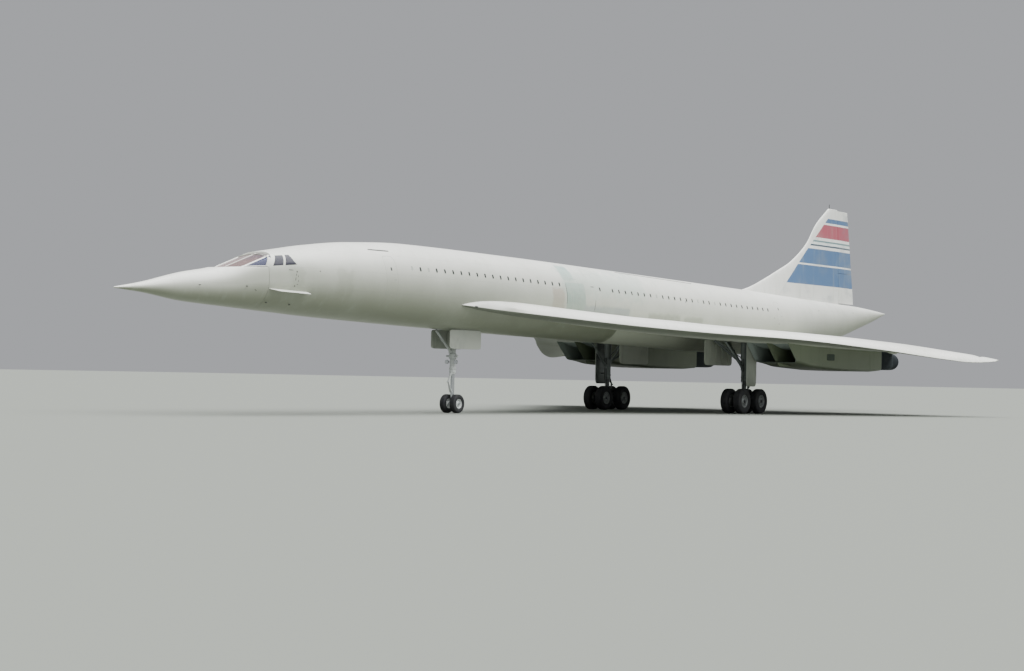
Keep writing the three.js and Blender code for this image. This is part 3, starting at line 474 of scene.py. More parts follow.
def metalMaterial(name, screenColour, grimeColour, chipColour, blotches, streaks, chips, rough, metal,
                  specular):
    # painted or bare metal with oil stains, chipped paint and a fine grain
    material, tree, shader = newMaterial(name, screenColour)
    inputs = {"Colour": tone(screenColour), "Grime colour": tone(grimeColour),
              "Blotches": blotches, "Streaks": streaks}
    grime = fillGroup(tree, grimeGroup, inputs)
    chipped = between(tree, cloud(tree, 30.0, detail=8.0, rough=0.7), 0.62, 0.7)
    chipped = reckon(tree, "MULTIPLY", chipped, chips)
    shade = blend(tree, chipped, grime["Colour"], tone(chipColour))
    tree.links.new(shade, shader.inputs["Base Color"])
    dull = between(tree, grime["Share"], 0.0, 1.0, (rough, rough + 0.3))
    tree.links.new(dull, shader.inputs["Roughness"])
    shader.inputs["Metallic"].default_value = metal
    shader.inputs["Specular IOR Level"].default_value = specular
    bump(tree, shader, cloud(tree, 60.0, detail=4.0), 0.15, 0.001)
    return material


def rubberMaterial(name, screenColour, dustColour, amount):
    # tyre rubber: dusty, scuffed paler, and finely pitted
    material, tree, shader = newMaterial(name, screenColour)
    dust = between(tree, cloud(tree, 14.0, detail=8.0, rough=0.7), 0.42, 0.72)
    shade = blend(tree, reckon(tree, "MULTIPLY", dust, amount), tone(screenColour), tone(dustColour))
    tree.links.new(shade, shader.inputs["Base Color"])
    tree.links.new(between(tree, dust, 0.0, 1.0, (0.75, 0.95)), shader.inputs["Roughness"])
    bump(tree, shader, cloud(tree, 120.0, detail=3.0), 0.3, 0.001)
    return material


def glassMaterial(name, lowColour, highColour, filmColour, change, waver, amount):
    # dark tinted glass: a dusty film over it, paler where it is thick, and a second tint higher up
    material, tree, shader = newMaterial(name, lowColour)
    place = put(tree, "ShaderNodeTexCoord").outputs["Object"]
    height = put(tree, "ShaderNodeSeparateXYZ", {0: place}).outputs[2]
    height = reckon(tree, "ADD", height, reckon(tree, "MULTIPLY", cloud(tree, 7.0), waver))
    shade = blend(tree, between(tree, height, *change), tone(lowColour), tone(highColour))
    film = between(tree, cloud(tree, 18.0, detail=8.0), 0.4, 0.75)
    shade = blend(tree, reckon(tree, "MULTIPLY", film, amount), shade, tone(filmColour))
    tree.links.new(shade, shader.inputs["Base Color"])
    tree.links.new(between(tree, film, 0.0, 1.0, (0.12, 0.4)), shader.inputs["Roughness"])
    shader.inputs["Specular IOR Level"].default_value = 0.2
    return material


# skin paint; its underside keys set a painted shade, with some dirt, that darkens the sides and the
# underside
skinLook = {
    "colour": "E4E5DF", "grime": "A9AEA2", "blotches": 0.35, "streaks": 0.3, "rough": 0.38, "coat": 0.2,
    "underShadeAndDirtColour": "747A63", "underFrom": -1.2, "underTo": 0.74, "underShadeAndDirtAmount": 0.9,
    "seams": 0.35, "pitchAlong": 1.07, "pitchUp": 0.37,
}
# patches: lowest corner, highest corner, colour, share, softness, wobble; all on the port side
bodyPatches = [
    ((-2.53, -0.9, 2.2), (-1.77, 0.0, 2.87), "8AB0AE", 0.8, 0.015, 0.04),
    ((-2.55, -0.7, 2.9), (-2.10, -0.2, 3.24), "84AFAA", 0.8, 0.04, 0.12),
    ((-3.08, -0.9, 2.24), (-2.62, 0.0, 2.74), "C3AFA6", 0.65, 0.05, 0.2),
    ((-2.65, -0.9, 2.6), (0.9, 0.0, 3.2), "C3D3CC", 0.55, 0.15, 0.9),
    ((-1.80, -0.9, 2.19), (0.1, 0.0, 2.38), "7F93AE", 0.65, 0.05, 0.12),
    ((0.94, -0.9, 2.12), (2.40, 0.0, 2.30), "868C84", 0.65, 0.05, 0.1),
    ((2.58, -0.9, 2.10), (3.49, 0.0, 2.27), "868C84", 0.6, 0.05, 0.1),
    ((-11.5, -0.9, 2.3), (-11.2, 0.0, 2.75), "A4A9A0", 0.35, 0.05, 0.35),
    ((-10.3, -0.9, 2.2), (-9.85, 0.0, 2.75), "B4B7AE", 0.35, 0.06, 0.35),
]
skinPaint = paintMaterial("skinPaint", skinLook)
bodyPaint = paintMaterial("bodyPaint", skinLook | {"patches": bodyPatches})
# belly and wing underside: greyer than the skin as a painted shade, yet paler than the skin's painted
# underside shade, a painted fill light in the wing's shadow
bellyShadeLook = skinLook | {
    "colour": "BFC3B4", "grime": "8A9081", "blotches": 0.6, "streaks": 0.1, "underShadeAndDirtAmount": 0.15,
    "underShadeAndDirtColour": "989E8C", "underFrom": -0.1, "underTo": 0.7, "rough": 0.6, "coat": 0.0,
}
bellyShadePaint = paintMaterial("bellyShadePaint", bellyShadeLook)
# nacelles: their underside keys darken them strongly below, a painted shade with some dirt
nacellePaint = paintMaterial("nacellePaint", skinLook | {
    "colour": "8F9A7C", "grime": "66705A", "blotches": 0.5, "streaks": 0.5, "underShadeAndDirtAmount": 0.8,
    "underShadeAndDirtColour": "4E5447", "pitchAlong": 2.35, "pitchUp": 3.0, "seams": 0.2, "rough": 0.5, "coat": 0.05,
})
# gear doors: greyer than the doors' white paint, a painted shade
shadedDoorPaint = paintMaterial("shadedDoorPaint", skinLook | {
    "colour": "A9ADA4", "grime": "6E736A", "blotches": 0.5, "streaks": 0.6, "rough": 0.5,
    "pitchAlong": 3.0, "pitchUp": 3.0, "underFrom": -0.2,
})
# main bay doors: greyer than their white paint, a painted shade
shadedBayPaint = paintMaterial("shadedBayPaint", skinLook | {
    "colour": "B4B8AE", "grime": "7C8176", "blotches": 0.5, "streaks": 0.6, "rough": 0.55, "coat": 0.0,
    "pitchAlong": 3.0, "pitchUp": 3.0, "underFrom": -0.2,
})
# metals and hard paints: colour, grime, chips' colour, blotches, streaks, chips, roughness, metal, specular
metalRows = {
    "nozzleMetal": ("33383B", "202427", "4C5255", 0.8, 0.4, 0.15, 0.8, 0.0, 0.1),
    "burntMetal": ("272B2E", "191C1E", "4C4843", 0.9, 0.3, 0.2, 0.85, 0.0, 0.05),
    "ductLining": ("9CA6A2", "6C7572", "A8B0AA", 0.7, 0.3, 0.1, 0.7, 0.0, 0.5),
    "gearPaint": ("747A79", "303236", "4F433B", 0.9, 0.7, 0.3, 0.42, 0.25, 0.5),
    "noseGearPaint": ("C4C8C6", "6F7270", "7A6A5C", 0.6, 0.6, 0.3, 0.42, 0.1, 0.5),
    "hubPaint": ("969A99", "4A4C4C", "4C4640", 0.9, 0.2, 0.4, 0.5, 0.25, 0.5),
    "brightSteel": ("C2C5C7", "77787A", "8A8A8A", 0.4, 0.2, 0.0, 0.18, 0.95, 0.5),
    "dullSteel": ("5E6162", "2F3031", "4C4640", 0.8, 0.4, 0.2, 0.4, 0.5, 0.5),
    "darkSeal": ("3B3D3C", "1F2020", "6B6B68", 0.5, 0.2, 0.1, 0.65, 0.0, 0.5),
    "faintSeam": ("9EA19A", "7B7E78", "B6B8B0", 0.6, 0.3, 0.1, 0.6, 0.0, 0.5),
    "ventGrille": ("3E4A40", "262D28", "5C655A", 0.5, 0.2, 0.1, 0.6, 0.2, 0.5),
}
(nozzleMetal, burntMetal, ductLining, gearPaint, noseGearPaint, hubPaint, brightSteel, dullSteel, darkSeal,
 faintSeam, ventGrille) = (metalMaterial(name, *row) for name, row in metalRows.items())
tyreRubber = rubberMaterial("tyreRubber", "202125", "454440", 0.5)
# glass: colour low down and high up, the film's colour, heights of the change, its waver, amount of film
glassRows = {
    "nearScreen": ("73605E", "60545B", "82736F", (2.84, 2.95), 0.12, 0.4),
    # the far screen is the same glass as the near one, paler: a painted reflection
    "farScreenReflected": ("8E7C7A", "857879", "9A8C8A", (2.84, 2.95), 0.12, 0.4),
    "sidePane": ("2F3246", "353A57", "45485F", (2.70, 2.85), 0.08, 0.3),
    "cockpitPane": ("34343D", "32333E", "474750", (2.74, 2.92), 0.05, 0.35),
    "cabinGlass": ("1E2324", "292E2F", "424746", (2.80, 2.90), 0.05, 0.4),
    "paleBlind": ("A3A7A0", "A8ACA5", "B4B7AF", (2.80, 2.90), 0.05, 0.4),
}
nearScreen, farScreenReflected, sidePane, cockpitPane, cabinGlass, paleBlind = (
    glassMaterial(name, *row) for name, row in glassRows.items())
print("materials made")


# Body skin: nose, fuselage and tail cone
# columns: station, half width, top height, bottom height, squareness of the upper half
bodyRows = np.array([
    [0, 9, 2184, 2166, 2], [260, 58, 2228, 2146, 2], [650, 112, 2300, 2118, 2], [1600, 250, 2515, 2008, 2],
    [2350, 352, 2640, 1966, 2.3], [2585, 385, 2700, 1955, 2.5], [2900, 430, 2815, 1940, 2.7],
    [3200, 480, 2935, 1926, 2.8], [3375, 510, 2965, 1918, 2.9], [3700, 560, 3010, 1902, 2.9],
    [4100, 602, 3075, 1884, 2.6], [4800, 655, 3185, 1850, 2.2], [6100, 708, 3325, 1806, 2],
    [7850, 720, 3400, 1755, 2], [11350, 720, 3360, 1670, 2], [16000, 720, 3262, 1570, 2],
    [20800, 720, 3150, 1465, 2], [22500, 715, 3108, 1452, 2], [24000, 672, 3065, 1515, 2],
    [26000, 530, 3005, 1750, 2], [27500, 385, 2970, 1990, 2], [28850, 255, 2932, 2290, 2],
    [30000, 118, 2868, 2560, 2], [30830, 10, 2805, 2785, 2],
], float)
bodyEnd = bodyRows[-1, 0]
body = {
    "noseRear": 3368, "front": 3375, "tailSplit": 28850, "turns": 112, "tipRound": 18,
    "noseUpright": 2700, "frontUpright": 4100,  # stations from which the rows lean towards the joint
}
visor = {
    "deckFrom": 2350, "deckHeight": 2640, "deckRise": 0.065,  # flat deck in front of the glass
    "foot": 2730, "footHeight": 2666, "rise": 0.353, "crown": 45,  # glass, lower at its sides
    "brow": 3565, "browHeight": 2961, "browRise": 1.325, "end": 3605,  # step up to the cabin roof
    "baseRise": 0.048, "splitFrom": 2700, "splitLean": 0.75, "hinge": 1948, "relief": 0.24, "wall": 14,
}


def bodySection(station):
    # half width, middle height, half height and squareness of the section at a station
    wide, top, bottom, square = (smoothColumn(bodyRows, k, station) for k in (1, 2, 3, 4))
    return wide, (top + bottom) / 2, (top - bottom) / 2, square


def deckLine(station):
    return visor["deckHeight"] + visor["deckRise"] * (station - visor["deckFrom"])


def glassPlane(station, offset):
    glass = (visor["footHeight"] + visor["rise"] * (station - visor["foot"])
             - visor["crown"] * (offset / 380) ** 2)
    return np.maximum(glass, visor["browHeight"] + visor["browRise"] * (station - visor["brow"]))


def visorBase(station):
    return visor["footHeight"] + visor["baseRise"] * (station - visor["foot"])


def bodyPoint(station, angle, lift=0.0, cut=glassPlane):
    # superellipse: cosine and sine to the power 2 over the squareness, which is 2 in the lower half;
    # ahead of the cabin it stops at the flat deck and at the plane of the windscreen, or at the cut given
    station, angle = np.broadcast_arrays(np.asarray(station, float), np.asarray(angle, float))
    wide, middle, half, square = bodySection(station)
    exponent = np.where(np.sin(angle) > 0, 2 / square, 1.0)
    across = power(np.cos(angle), exponent) * (wide + lift)
    height = middle + power(np.sin(angle), exponent) * (half + lift)
    flat = np.where(station < visor["foot"], deckLine(station), cut(station, across))
    zone = (station > visor["deckFrom"]) & (station < visor["end"])
    height = np.where(zone, np.minimum(height, flat + lift), height)
    return pointsAt(station, across, height)


def angleAt(station, height, side):
    # angle of the skin at a height, from the starboard side round over the crown
    _, middle, half, square = bodySection(np.asarray(station, float))
    reach = np.clip((height - middle) / half, -1, 1)
    angle = np.arcsin(power(reach, np.where(reach > 0, square / 2, 1.0)))
    return np.where(side > 0, angle, np.pi - angle)


def splitShift(height):
    # how far the joint between nose and fuselage lies aft of its foot: it leans aft above the sill of the
    # glass, and forward under the hinge, which leaves room for the nose to droop
    above = np.maximum(0, height - visor["splitFrom"]) * visor["splitLean"]
    return above - np.maximum(0, visor["hinge"] - height) * visor["relief"]


around = np.linspace(0, 2 * np.pi, body["turns"], endpoint=False)


def fitToSplit(stations, angles, near, far, cut=glassPlane):
    # grid whose rows follow the leaning joint at the near station and are upright at the far one:
    # a row moves aft by the joint's shift x the square of its share of the way back from far to near
    moved = np.broadcast_to(stations, np.broadcast_shapes(stations.shape, angles.shape)).astype(float)
    share = np.clip((far - moved) / (far - near), 0, 1) ** 2
    for _ in range(8):
        moved = stations + share * splitShift(bodyPoint(moved, angles, 0.0, cut)[..., 2])
    return bodyPoint(moved, angles, 0.0, cut)


def makeNose():
    stations = np.concatenate([
        np.linspace(0, 1, 10) ** 2 * 260, np.linspace(330, 2340, 50),
        np.linspace(visor["deckFrom"], body["noseRear"], 60)])
    grid = fitToSplit(stations[:, None], around, body["noseRear"], body["noseUpright"],
                      lambda s, y: visorBase(s))
    # above the sill the glass goes on to the leaning joint, and the nose itself stops short of it
    grid[..., 0] = np.minimum(grid[..., 0], body["noseRear"])
    tip = np.sqrt(1 - (1 - np.clip(stations / body["tipRound"], 0, 1)) ** 2)[:, None]
    middle = grid.mean(axis=1, keepdims=True)
    grid[..., 1:] = middle[..., 1:] + (grid[..., 1:] - middle[..., 1:]) * tip[..., None]
    return surface(capped(grid))


makePiece("noseSkin", [makeNose()], [skinPaint], "nose_section", ["droop_nose"])

stations = np.concatenate([
    np.linspace(body["front"], 4400, 60), np.linspace(4480, body["tailSplit"], 230)])
grid = capped(fitToSplit(stations[:, None], around, body["front"], body["frontUpright"]))
# between the wings the belly has its own paint, below a line that falls aft; it is a painted shade for the
# wing's shadow, paler than the skin's painted underside shade as a painted fill light
underWing = {"from": 15200, "to": 24250, "height": 1970, "fall": 0.0373}
s, z = grid[:-1, :, 0], grid[:-1, :, 2]
under = (s > underWing["from"]) & (s < underWing["to"])
under &= z < underWing["height"] - underWing["fall"] * (s - underWing["from"])
makePiece("fuselageSkin", [surface(grid, under.reshape(-1))], [bodyPaint, bellyShadePaint], "airframe",
          ["fuselage"])

stations = np.linspace(body["tailSplit"] + 0.5, bodyEnd, 40)
grid = bodyPoint(stations[:, None], around)
drainMast = limb([[29350, 0, 2440], [29380, 0, 2405]], 14, 4, side=(1, 0, 0), turns=12)
makePiece("tailConeSkin", [surface(capped(grid)), drainMast], [skinPaint], "airframe",
          ["tail_cone"])
print("body skin made")


# Visor: glazed shell between the nose deck and the leaning joint, with white frames on it

frames = {"lift": 4, "depth": 10, "centre": 15, "edge": 19, "base": 7, "rear": 34, "offset": 350}


def visorPoint(along, share, lift=0.0):
    # along runs from the foot to the joint, share from the starboard sill over the top to the port sill
    along, share = np.broadcast_arrays(np.asarray(along, float), np.asarray(share, float))
    foot, rear = visor["foot"], body["noseRear"]
    moved = foot + (rear - foot) * along
    for _ in range(10):
        sill = angleAt(moved, visorBase(moved), 1)
        angle = sill + (np.pi - 2 * sill) * share
        height = bodyPoint(moved, angle)[..., 2]
        moved = foot + (rear - foot + splitShift(height)) * along
    return bodyPoint(moved, angle, lift)


along = np.linspace(0, 1, 60)[:, None]
share = np.linspace(0, 1, 73)[None, :]
grid = slab(visorPoint(along, share), visorPoint(along, share, -visor["wall"]))
across = grid[:-1, :, 1]
pane = np.where(np.abs(across) > frames["offset"], 2, np.where(across > 0, 1, 0))
makePiece("visorGlazing", [surface(grid, pane.reshape(-1))], [nearScreen, farScreenReflected, sidePane],
          "nose_section", ["visor"])


def ribbon(pathPoint, half, length=60, ends=(0.0, 1.0)):
    # flat bar along a line on the visor: pathPoint gives along and share, half is half its width
    t = np.linspace(*ends, length)
    centre = visorPoint(*pathPoint(t), frames["lift"])
    under = visorPoint(*pathPoint(t), -frames["depth"])
    forward = np.gradient(centre, axis=0)
    outward = centre - under
    side = np.cross(forward, outward)
    side *= half / np.linalg.norm(side, axis=1, keepdims=True)
    top = np.stack([centre - side, centre, centre + side], axis=1)
    below = np.stack([under - side, under, under + side], axis=1)
    return surface(slab(top, below))


def shareOfOffset(along, offset):
    # share at which the glazing lies at an offset, read off a fine row of points
    fine = np.linspace(0.02, 0.98, 241)[None, :]
    across = visorPoint(along[:, None], fine)[..., 1]
    return np.array([np.interp(-offset, -row, fine[0]) for row in across])


def edgeFrame(sign):
    return lambda t: (t, np.clip(shareOfOffset(t, sign * frames["offset"]), 0.01, 0.99))


parts = [
    ribbon(lambda t: (t, 0.5), frames["centre"], ends=(0.02, 1.0)),
    ribbon(edgeFrame(1), frames["edge"], ends=(0.14, 1.0)),
    ribbon(edgeFrame(-1), frames["edge"], ends=(0.14, 1.0)),
    ribbon(lambda t: (t, 0.012), frames["base"], ends=(0.06, 1.0)),
    ribbon(lambda t: (t, 0.988), frames["base"], ends=(0.06, 1.0)),
    ribbon(lambda t: (0.955, t), frames["rear"], ends=(0.004, 0.996), length=120),
]
makePiece("visorFrames", parts, [skinPaint], "nose_section")


# Glass on the body behind the joint, and small patches that lie on the skin

# how far the outer and the inner side of a patch lie over the skin
lifts = {
    "pane": (0.6, -5), "rim": (1.6, -4), "gap": (0.6, -4), "handle": (1.2, -4), "doorPane": (1.0, -4),
    "mark": (1.5, -4),
}


def bodyBadge(centre, half, side, levels, square, turns=24, rings=2, lean=0.0, hole=0.0, finish=0):
    # closed patch on the skin round a (station, height): rings of an outline from the middle out, then
    # down to the lower level; with a hole it is a ring whose inner edge lies that far inside the outer one
    x, y = outline(turns, square)
    centre, half = np.asarray(centre, float), np.asarray(half, float)
    if hole:
        inner = 1 - hole / half
        scale = np.stack([[1, 1], inner, inner, [1, 1]])
        lift = np.repeat(levels, 2)
    else:
        steps = np.linspace(0, 1, rings + 1)
        scale = np.repeat(np.concatenate([steps, steps[::-1]])[:, None], 2, axis=1)
        lift = np.repeat(levels, rings + 1)
    rise = half[1] * scale[:, 1, None] * y
    station = centre[..., 0, None, None] + half[0] * scale[:, 0, None] * x + lean * rise
    height = centre[..., 1, None, None] + rise
    grid = bodyPoint(station, angleAt(station, height, side), lift[:, None])
    return surface(grid, finish, roundRows=bool(hole))


def bodyPane(corners, side, lift, depth, steps=14):
    # pane with four corners as (station, height), front low, front high, rear high and rear low
    low = np.linspace(corners[0], corners[3], steps)
    high = np.linspace(corners[1], corners[2], steps)
    t = np.linspace(0, 1, steps)[None, :, None]
    place = low[:, None] * (1 - t) + high[:, None] * t
    angle = angleAt(place[..., 0], place[..., 1], side)
    return surface(slab(bodyPoint(place[..., 0], angle, lift), bodyPoint(place[..., 0], angle, -depth)))


def grown(corners, margin):
    corners = np.array(corners, float)
    middle = corners.mean(axis=0)
    return middle + (corners - middle) * (1 + margin / np.abs(corners - middle).mean(axis=0))


cockpit = {
    "panes": [
        [(3490, 2727), (3628, 2908), (3796, 2922), (3712, 2749)],
        [(3783, 2752), (3871, 2932), (3962, 2938), (4030, 2777)],
    ],
    # a worn corner behind the second pane shows the dark seal under it
    "worn": [(4020, 2790), (4022, 2822), (4050, 2800), (4066, 2764)],
    "lift": 2.5, "depth": 8, "margin": 9, "sealLift": 1.2, "sealDepth": 6,
}


def makeCockpitGlass(side):
    return [bodyPane(corners, side, cockpit["lift"], cockpit["depth"]) for corners in cockpit["panes"]]


def makeCockpitSeals(side):
    levels = cockpit["sealLift"], cockpit["sealDepth"]
    seals = [bodyPane(grown(corners, cockpit["margin"]), side, *levels) for corners in cockpit["panes"]]
    return seals + [bodyPane(cockpit["worn"], side, *levels, 6)]


makePair("cockpitGlass", makeCockpitGlass, [cockpitPane], "cockpit_side_glass")
makePair("cockpitSeals", makeCockpitSeals, [darkSeal])

# the fixed windscreen stands behind the visor and shows when the nose droops; it is narrower at its top
screen = {"low": 2715, "high": 2925, "halfLow": 360, "halfHigh": 290, "inset": 3, "thick": 9}
bars = {"offset": 130, "low": (3376, 2705), "high": (3545, 2930), "lean": 0.9, "half": 12, "thick": 5}
t = np.linspace(0, 1, 24)[:, None]
height = screen["low"] + (screen["high"] - screen["low"]) * t
station = body["front"] - screen["inset"] + (height - visor["splitFrom"]) * visor["splitLean"]
across = np.linspace(-1, 1, 25) * (screen["halfLow"] + (screen["halfHigh"] - screen["halfLow"]) * t)
grid = pointsAt(station, across, height)
makePiece("fixedWindscreen", [surface(slab(grid, grid + [screen["thick"], 0, 0]))], [cockpitPane],
          "airframe", ["windscreen"])
parts = []
for offset in (-bars["offset"], bars["offset"]):
    (lowStation, lowHeight), (highStation, highHeight) = bars["low"], bars["high"]
    path = [[lowStation, offset, lowHeight], [highStation, offset * bars["lean"], highHeight]]
    parts.append(limb(path, bars["half"], bars["thick"], square=6))
makePiece("windscreenBars", parts, [darkSeal], "airframe")
print("glazing made")


# Cabin windows and doors
cabin = {
    "front": (7361, 12650), "rear": (14825, 22460), "single": 14284, "pitch": 278,
    "height": 2863, "heightAt": 10000, "fall": 0.021, "half": (27, 43), "rim": 6,
    "aft": 30, "aftFrom": 8200, "aftOver": 840,  # the first windows stand further aft
    "blind": (7361, 7917, 16771, 18717, 19551),
}
front, rear = (np.arange(*cabin[k], cabin["pitch"]) for k in ("front", "rear"))
places = np.concatenate([front, [cabin["single"]], rear])
heights = cabin["height"] - cabin["fall"] * (places - cabin["heightAt"])
# the row bends down a little towards the nose: station, drop
dropRows = np.array([[6700, 38], [7700, 40], [8200, 24], [9300, 12], [12650, 0]])
heights = heights - np.interp(places, dropRows[:, 0], dropRows[:, 1])
aft = cabin["aft"] * np.clip((cabin["aftFrom"] - places) / cabin["aftOver"], 0, 1)
centres = np.stack([places + aft, heights], axis=-1)
blind = np.isin(places, cabin["blind"])[:, None]


def makeWindows(side):
    # the blanked windows are known on the port side only
    return [bodyBadge(centres, cabin["half"], side, lifts["pane"], 3.5, finish=blind * (side < 0))]


def makeRims(side):
    half = np.array(cabin["half"]) + cabin["rim"]
    return [bodyBadge(centres, half, side, lifts["rim"], 3.5, hole=cabin["rim"])]


makePair("cabinWindows", makeWindows, [cabinGlass, paleBlind])
makePair("cabinRims", makeRims, [skinPaint])

# doors, worn nearly as pale as the skin: station, height, half length and height, height of the window or 0
doorRows = [(6725, 2660, 175, 420, 2828), (13260, 2560, 165, 400, 0), (22960, 2500, 150, 330, 2650)]


def makeDoorGaps(side):
    parts = []
    for station, height, halfLong, halfTall, window in doorRows:
        parts.append(bodyBadge((station, height), (halfLong, halfTall), side, lifts["gap"], 7, 96, hole=4))
        handle = (station + halfLong * 0.55, height - 40)
        parts.append(bodyBadge(handle, (30, 7), side, lifts["handle"], 6))
        if window:
            parts.append(bodyBadge((station, window), (22, 34), side, lifts["doorPane"], 4, finish=1))
    return parts


makePair("doorGaps", makeDoorGaps, [faintSeam, darkSeal])

# small dark marks on the skin: sensors, drains and worn spots, as station, height, half size and lean
markRows = [
    (4650, 2677, 14, 8, 0), (3890, 2663, 60, 5, 0), (13982, 2812, 70, 8, 0),
    (18100, 2640, 22, 12, 0), (25600, 2700, 20, 10, 0), (22623, 2407, 14, 12, 0), (22875, 2262, 14, 12, 0),
    (28117, 2735, 26, 7, 0), (4042, 2637, 14, 14, 0), (4022, 2585, 5, 24, 0.3), (4064, 2556, 5, 20, -0.2),
    (4006, 2502, 6, 30, 0.2), (4072, 2470, 4, 22, 0.4), (3984, 2372, 14, 11, 0), (4050, 2404, 20, 4, 0),
]
portRows = [(12890, 2610, 7, 228, 0), (14038, 2395, 6, 124, 0.1)]
noseMarkRows = [(3075, 2266, 8, 8, 0), (3100, 2250, 10, 8, 0)]
tailMarkRows = [(29098, 2626, 14, 8, 0)]
# probes as station and height of the foot, and the shape of their mast as (aft, out)
bodyProbes = [(3460, 2048), (4052, 2030)]
noseProbes = [(1798, 2297), (2865, 2321)]
probeShape = np.array([[0, -6], [0, 24], [-8, 40], [-30, 48], [-70, 50]])


def makeMarks(rows, side):
    return [bodyBadge((s, h), (a, b), side, lifts["mark"], 2.5, 20, rings=3, lean=lean)
            for s, h, a, b, lean in rows]


def makeProbes(rows, side):
    # small masts that stand out of the skin and bend forward
    parts = []
    for station, height in rows:
        foot = bodyPoint(station, angleAt(station, height, side))
        path = foot + pointsAt(probeShape[:, 0], side * probeShape[:, 1], 0)
        parts.append(limb(path, [9, 7, 6, 5, 3], side=(0, 0, 1), turns=12))
    return parts


def makeBodySensors(side):
    rows = markRows + (portRows if side < 0 else [])
    return makeMarks(rows, side) + makeProbes(bodyProbes, side)


def makeNoseSensors(side):
    return makeMarks(noseMarkRows, side) + makeProbes(noseProbes, side)


makePair("bodySensors", makeBodySensors, [darkSeal])
makePair("noseSensors", makeNoseSensors, [darkSeal], body="nose_section")
makePair("tailSensors", lambda side: makeMarks(tailMarkRows, side), [darkSeal])

# the crown: a dark slot and a long thin dark line on each side of the centre line
crown = {
    "from": 15600, "to": 19050, "offset": 225, "offsetRear": 275, "half": 14, "lift": 4,
    "slot": (6590, 3188), "slotHalf": (300, 12),
}
t = np.linspace(0, 1, 80)
stations = crown["from"] + (crown["to"] - crown["from"]) * t
offsets = crown["offset"] + (crown["offsetRear"] - crown["offset"]) * t
angles = np.arccos(offsets / bodySection(stations)[0])
line = bodyPoint(stations, angles)
parts = []
for side in sideSigns.values():
    parts.append(bodyBadge(crown["slot"], crown["slotHalf"], side, lifts["mark"], 6, 64, rings=3))
    parts.append(limb(line * np.array([1, side, 1]), crown["half"], crown["lift"], square=3, turns=12))
makePiece("crownMarks", parts, [darkSeal], "airframe")

# nose strakes: thin blades that slope down aft and out
strake = {
    "from": 3388, "to": 4340, "high": 2299, "low": 2272, "reach": 150, "root": 60, "half": 6, "droop": 42,
    "growOver": 0.16, "fadeOver": 0.05,
}


def makeStrake(side):
    # the blade reaches out quickly over the front of its length and comes to an end as a quarter circle
    t = np.linspace(0, 1, 50)[:, None]
    u = np.linspace(0, 1, 9)
    station = strake["from"] + (strake["to"] - strake["from"]) * t
    height = strake["high"] + (strake["low"] - strake["high"]) * t
    skin = np.abs(bodyPoint(station, angleAt(station, height, 1))[..., 1])
    edge = strake["reach"] * np.minimum(1, t / strake["growOver"]) ** 0.8
    edge = edge * np.sqrt(np.clip((1.002 - t) / strake["fadeOver"], 0, 1))
    reach = (strake["root"] + edge) * u - strake["root"]
    height = height - strake["droop"] * reach / strake["reach"]
    half = strake["half"] * (1 - 0.6 * u)
    top, under = (pointsAt(station, side * (skin + reach), height + k * half) for k in (1, -1))
    return [surface(slab(top, under))]


makePair("noseStrakes", makeStrake, [skinPaint], "nose_strake")
print("cabin details made")


# Wing: one closed skin a side, whose chord is cut short at the elevon bays
# columns: offset, lead, lead height, trail, trail height, crown, belly, blunt
wingRows = np.array([
    [150, 8600, 2250, 24300, 1655, 330, 110, 700], [700, 9150, 2215, 24300, 1650, 330, 110, 650],
    [810, 10000, 2165, 24300, 1648, 320, 110, 600], [1210, 12000, 2060, 24300, 1640, 300, 110, 500],
    [1785, 14000, 1945, 24300, 1628, 270, 105, 400], [2575, 16000, 1845, 24300, 1612, 245, 95, 300],
    [3640, 18000, 1760, 24300, 1560, 215, 75, 280], [4875, 20000, 1575, 23975, 1500, 185, 45, 270],
    [5825, 21750, 1375, 23700, 1440, 150, 25, 250], [6125, 22500, 1326, 23620, 1422, 116, 15, 230],
    [6290, 23000, 1342, 23575, 1412, 66, 10, 200], [6400, 23350, 1368, 23540, 1400, 16, 6, 150],
], float)
# elevons: nearer end, outer end, hinge station at the nearer end, hinge station at the outer end
elevonRows = {
    "inner": (900, 2075, 23300, 23300), "middle": (3310, 4860, 23273, 23140),
    "outer": (4880, 6130, 23138, 23030),
}
# the upper skin is flatter over the front of the chord: offset, share of the crown that it lacks there
hollowRows = np.array([
    [150, 0], [690, 0.37], [1210, 0.36], [1785, 0.2], [2575, 0.19], [3640, 0.16], [4875, 0]])
wing = {
    "edge": 4, "gap": 7, "endGap": 10, "tipPaint": 6180, "hollow": (0.2, 0.85),
    "front": 44, "rear": 9, "bunch": 2.4,  # columns of points in front of the bay wall and behind it
    "breakFrom": 0.35, "breakTo": 0.7,  # shares of the chord between which the two may meet
}


def wingColumns(offset):
    # the outline's trailing edge is straight between rows, as the elevons are, and the rest is smooth
    straight = [np.interp(offset, wingRows[:, 0], wingRows[:, k]) for k in (3, 4)]
    lead, leadHeight, crown, belly, blunt = (smoothColumn(wingRows, k, offset) for k in (1, 2, 5, 6, 7))
    return lead, leadHeight, straight[0], straight[1], crown, belly, blunt


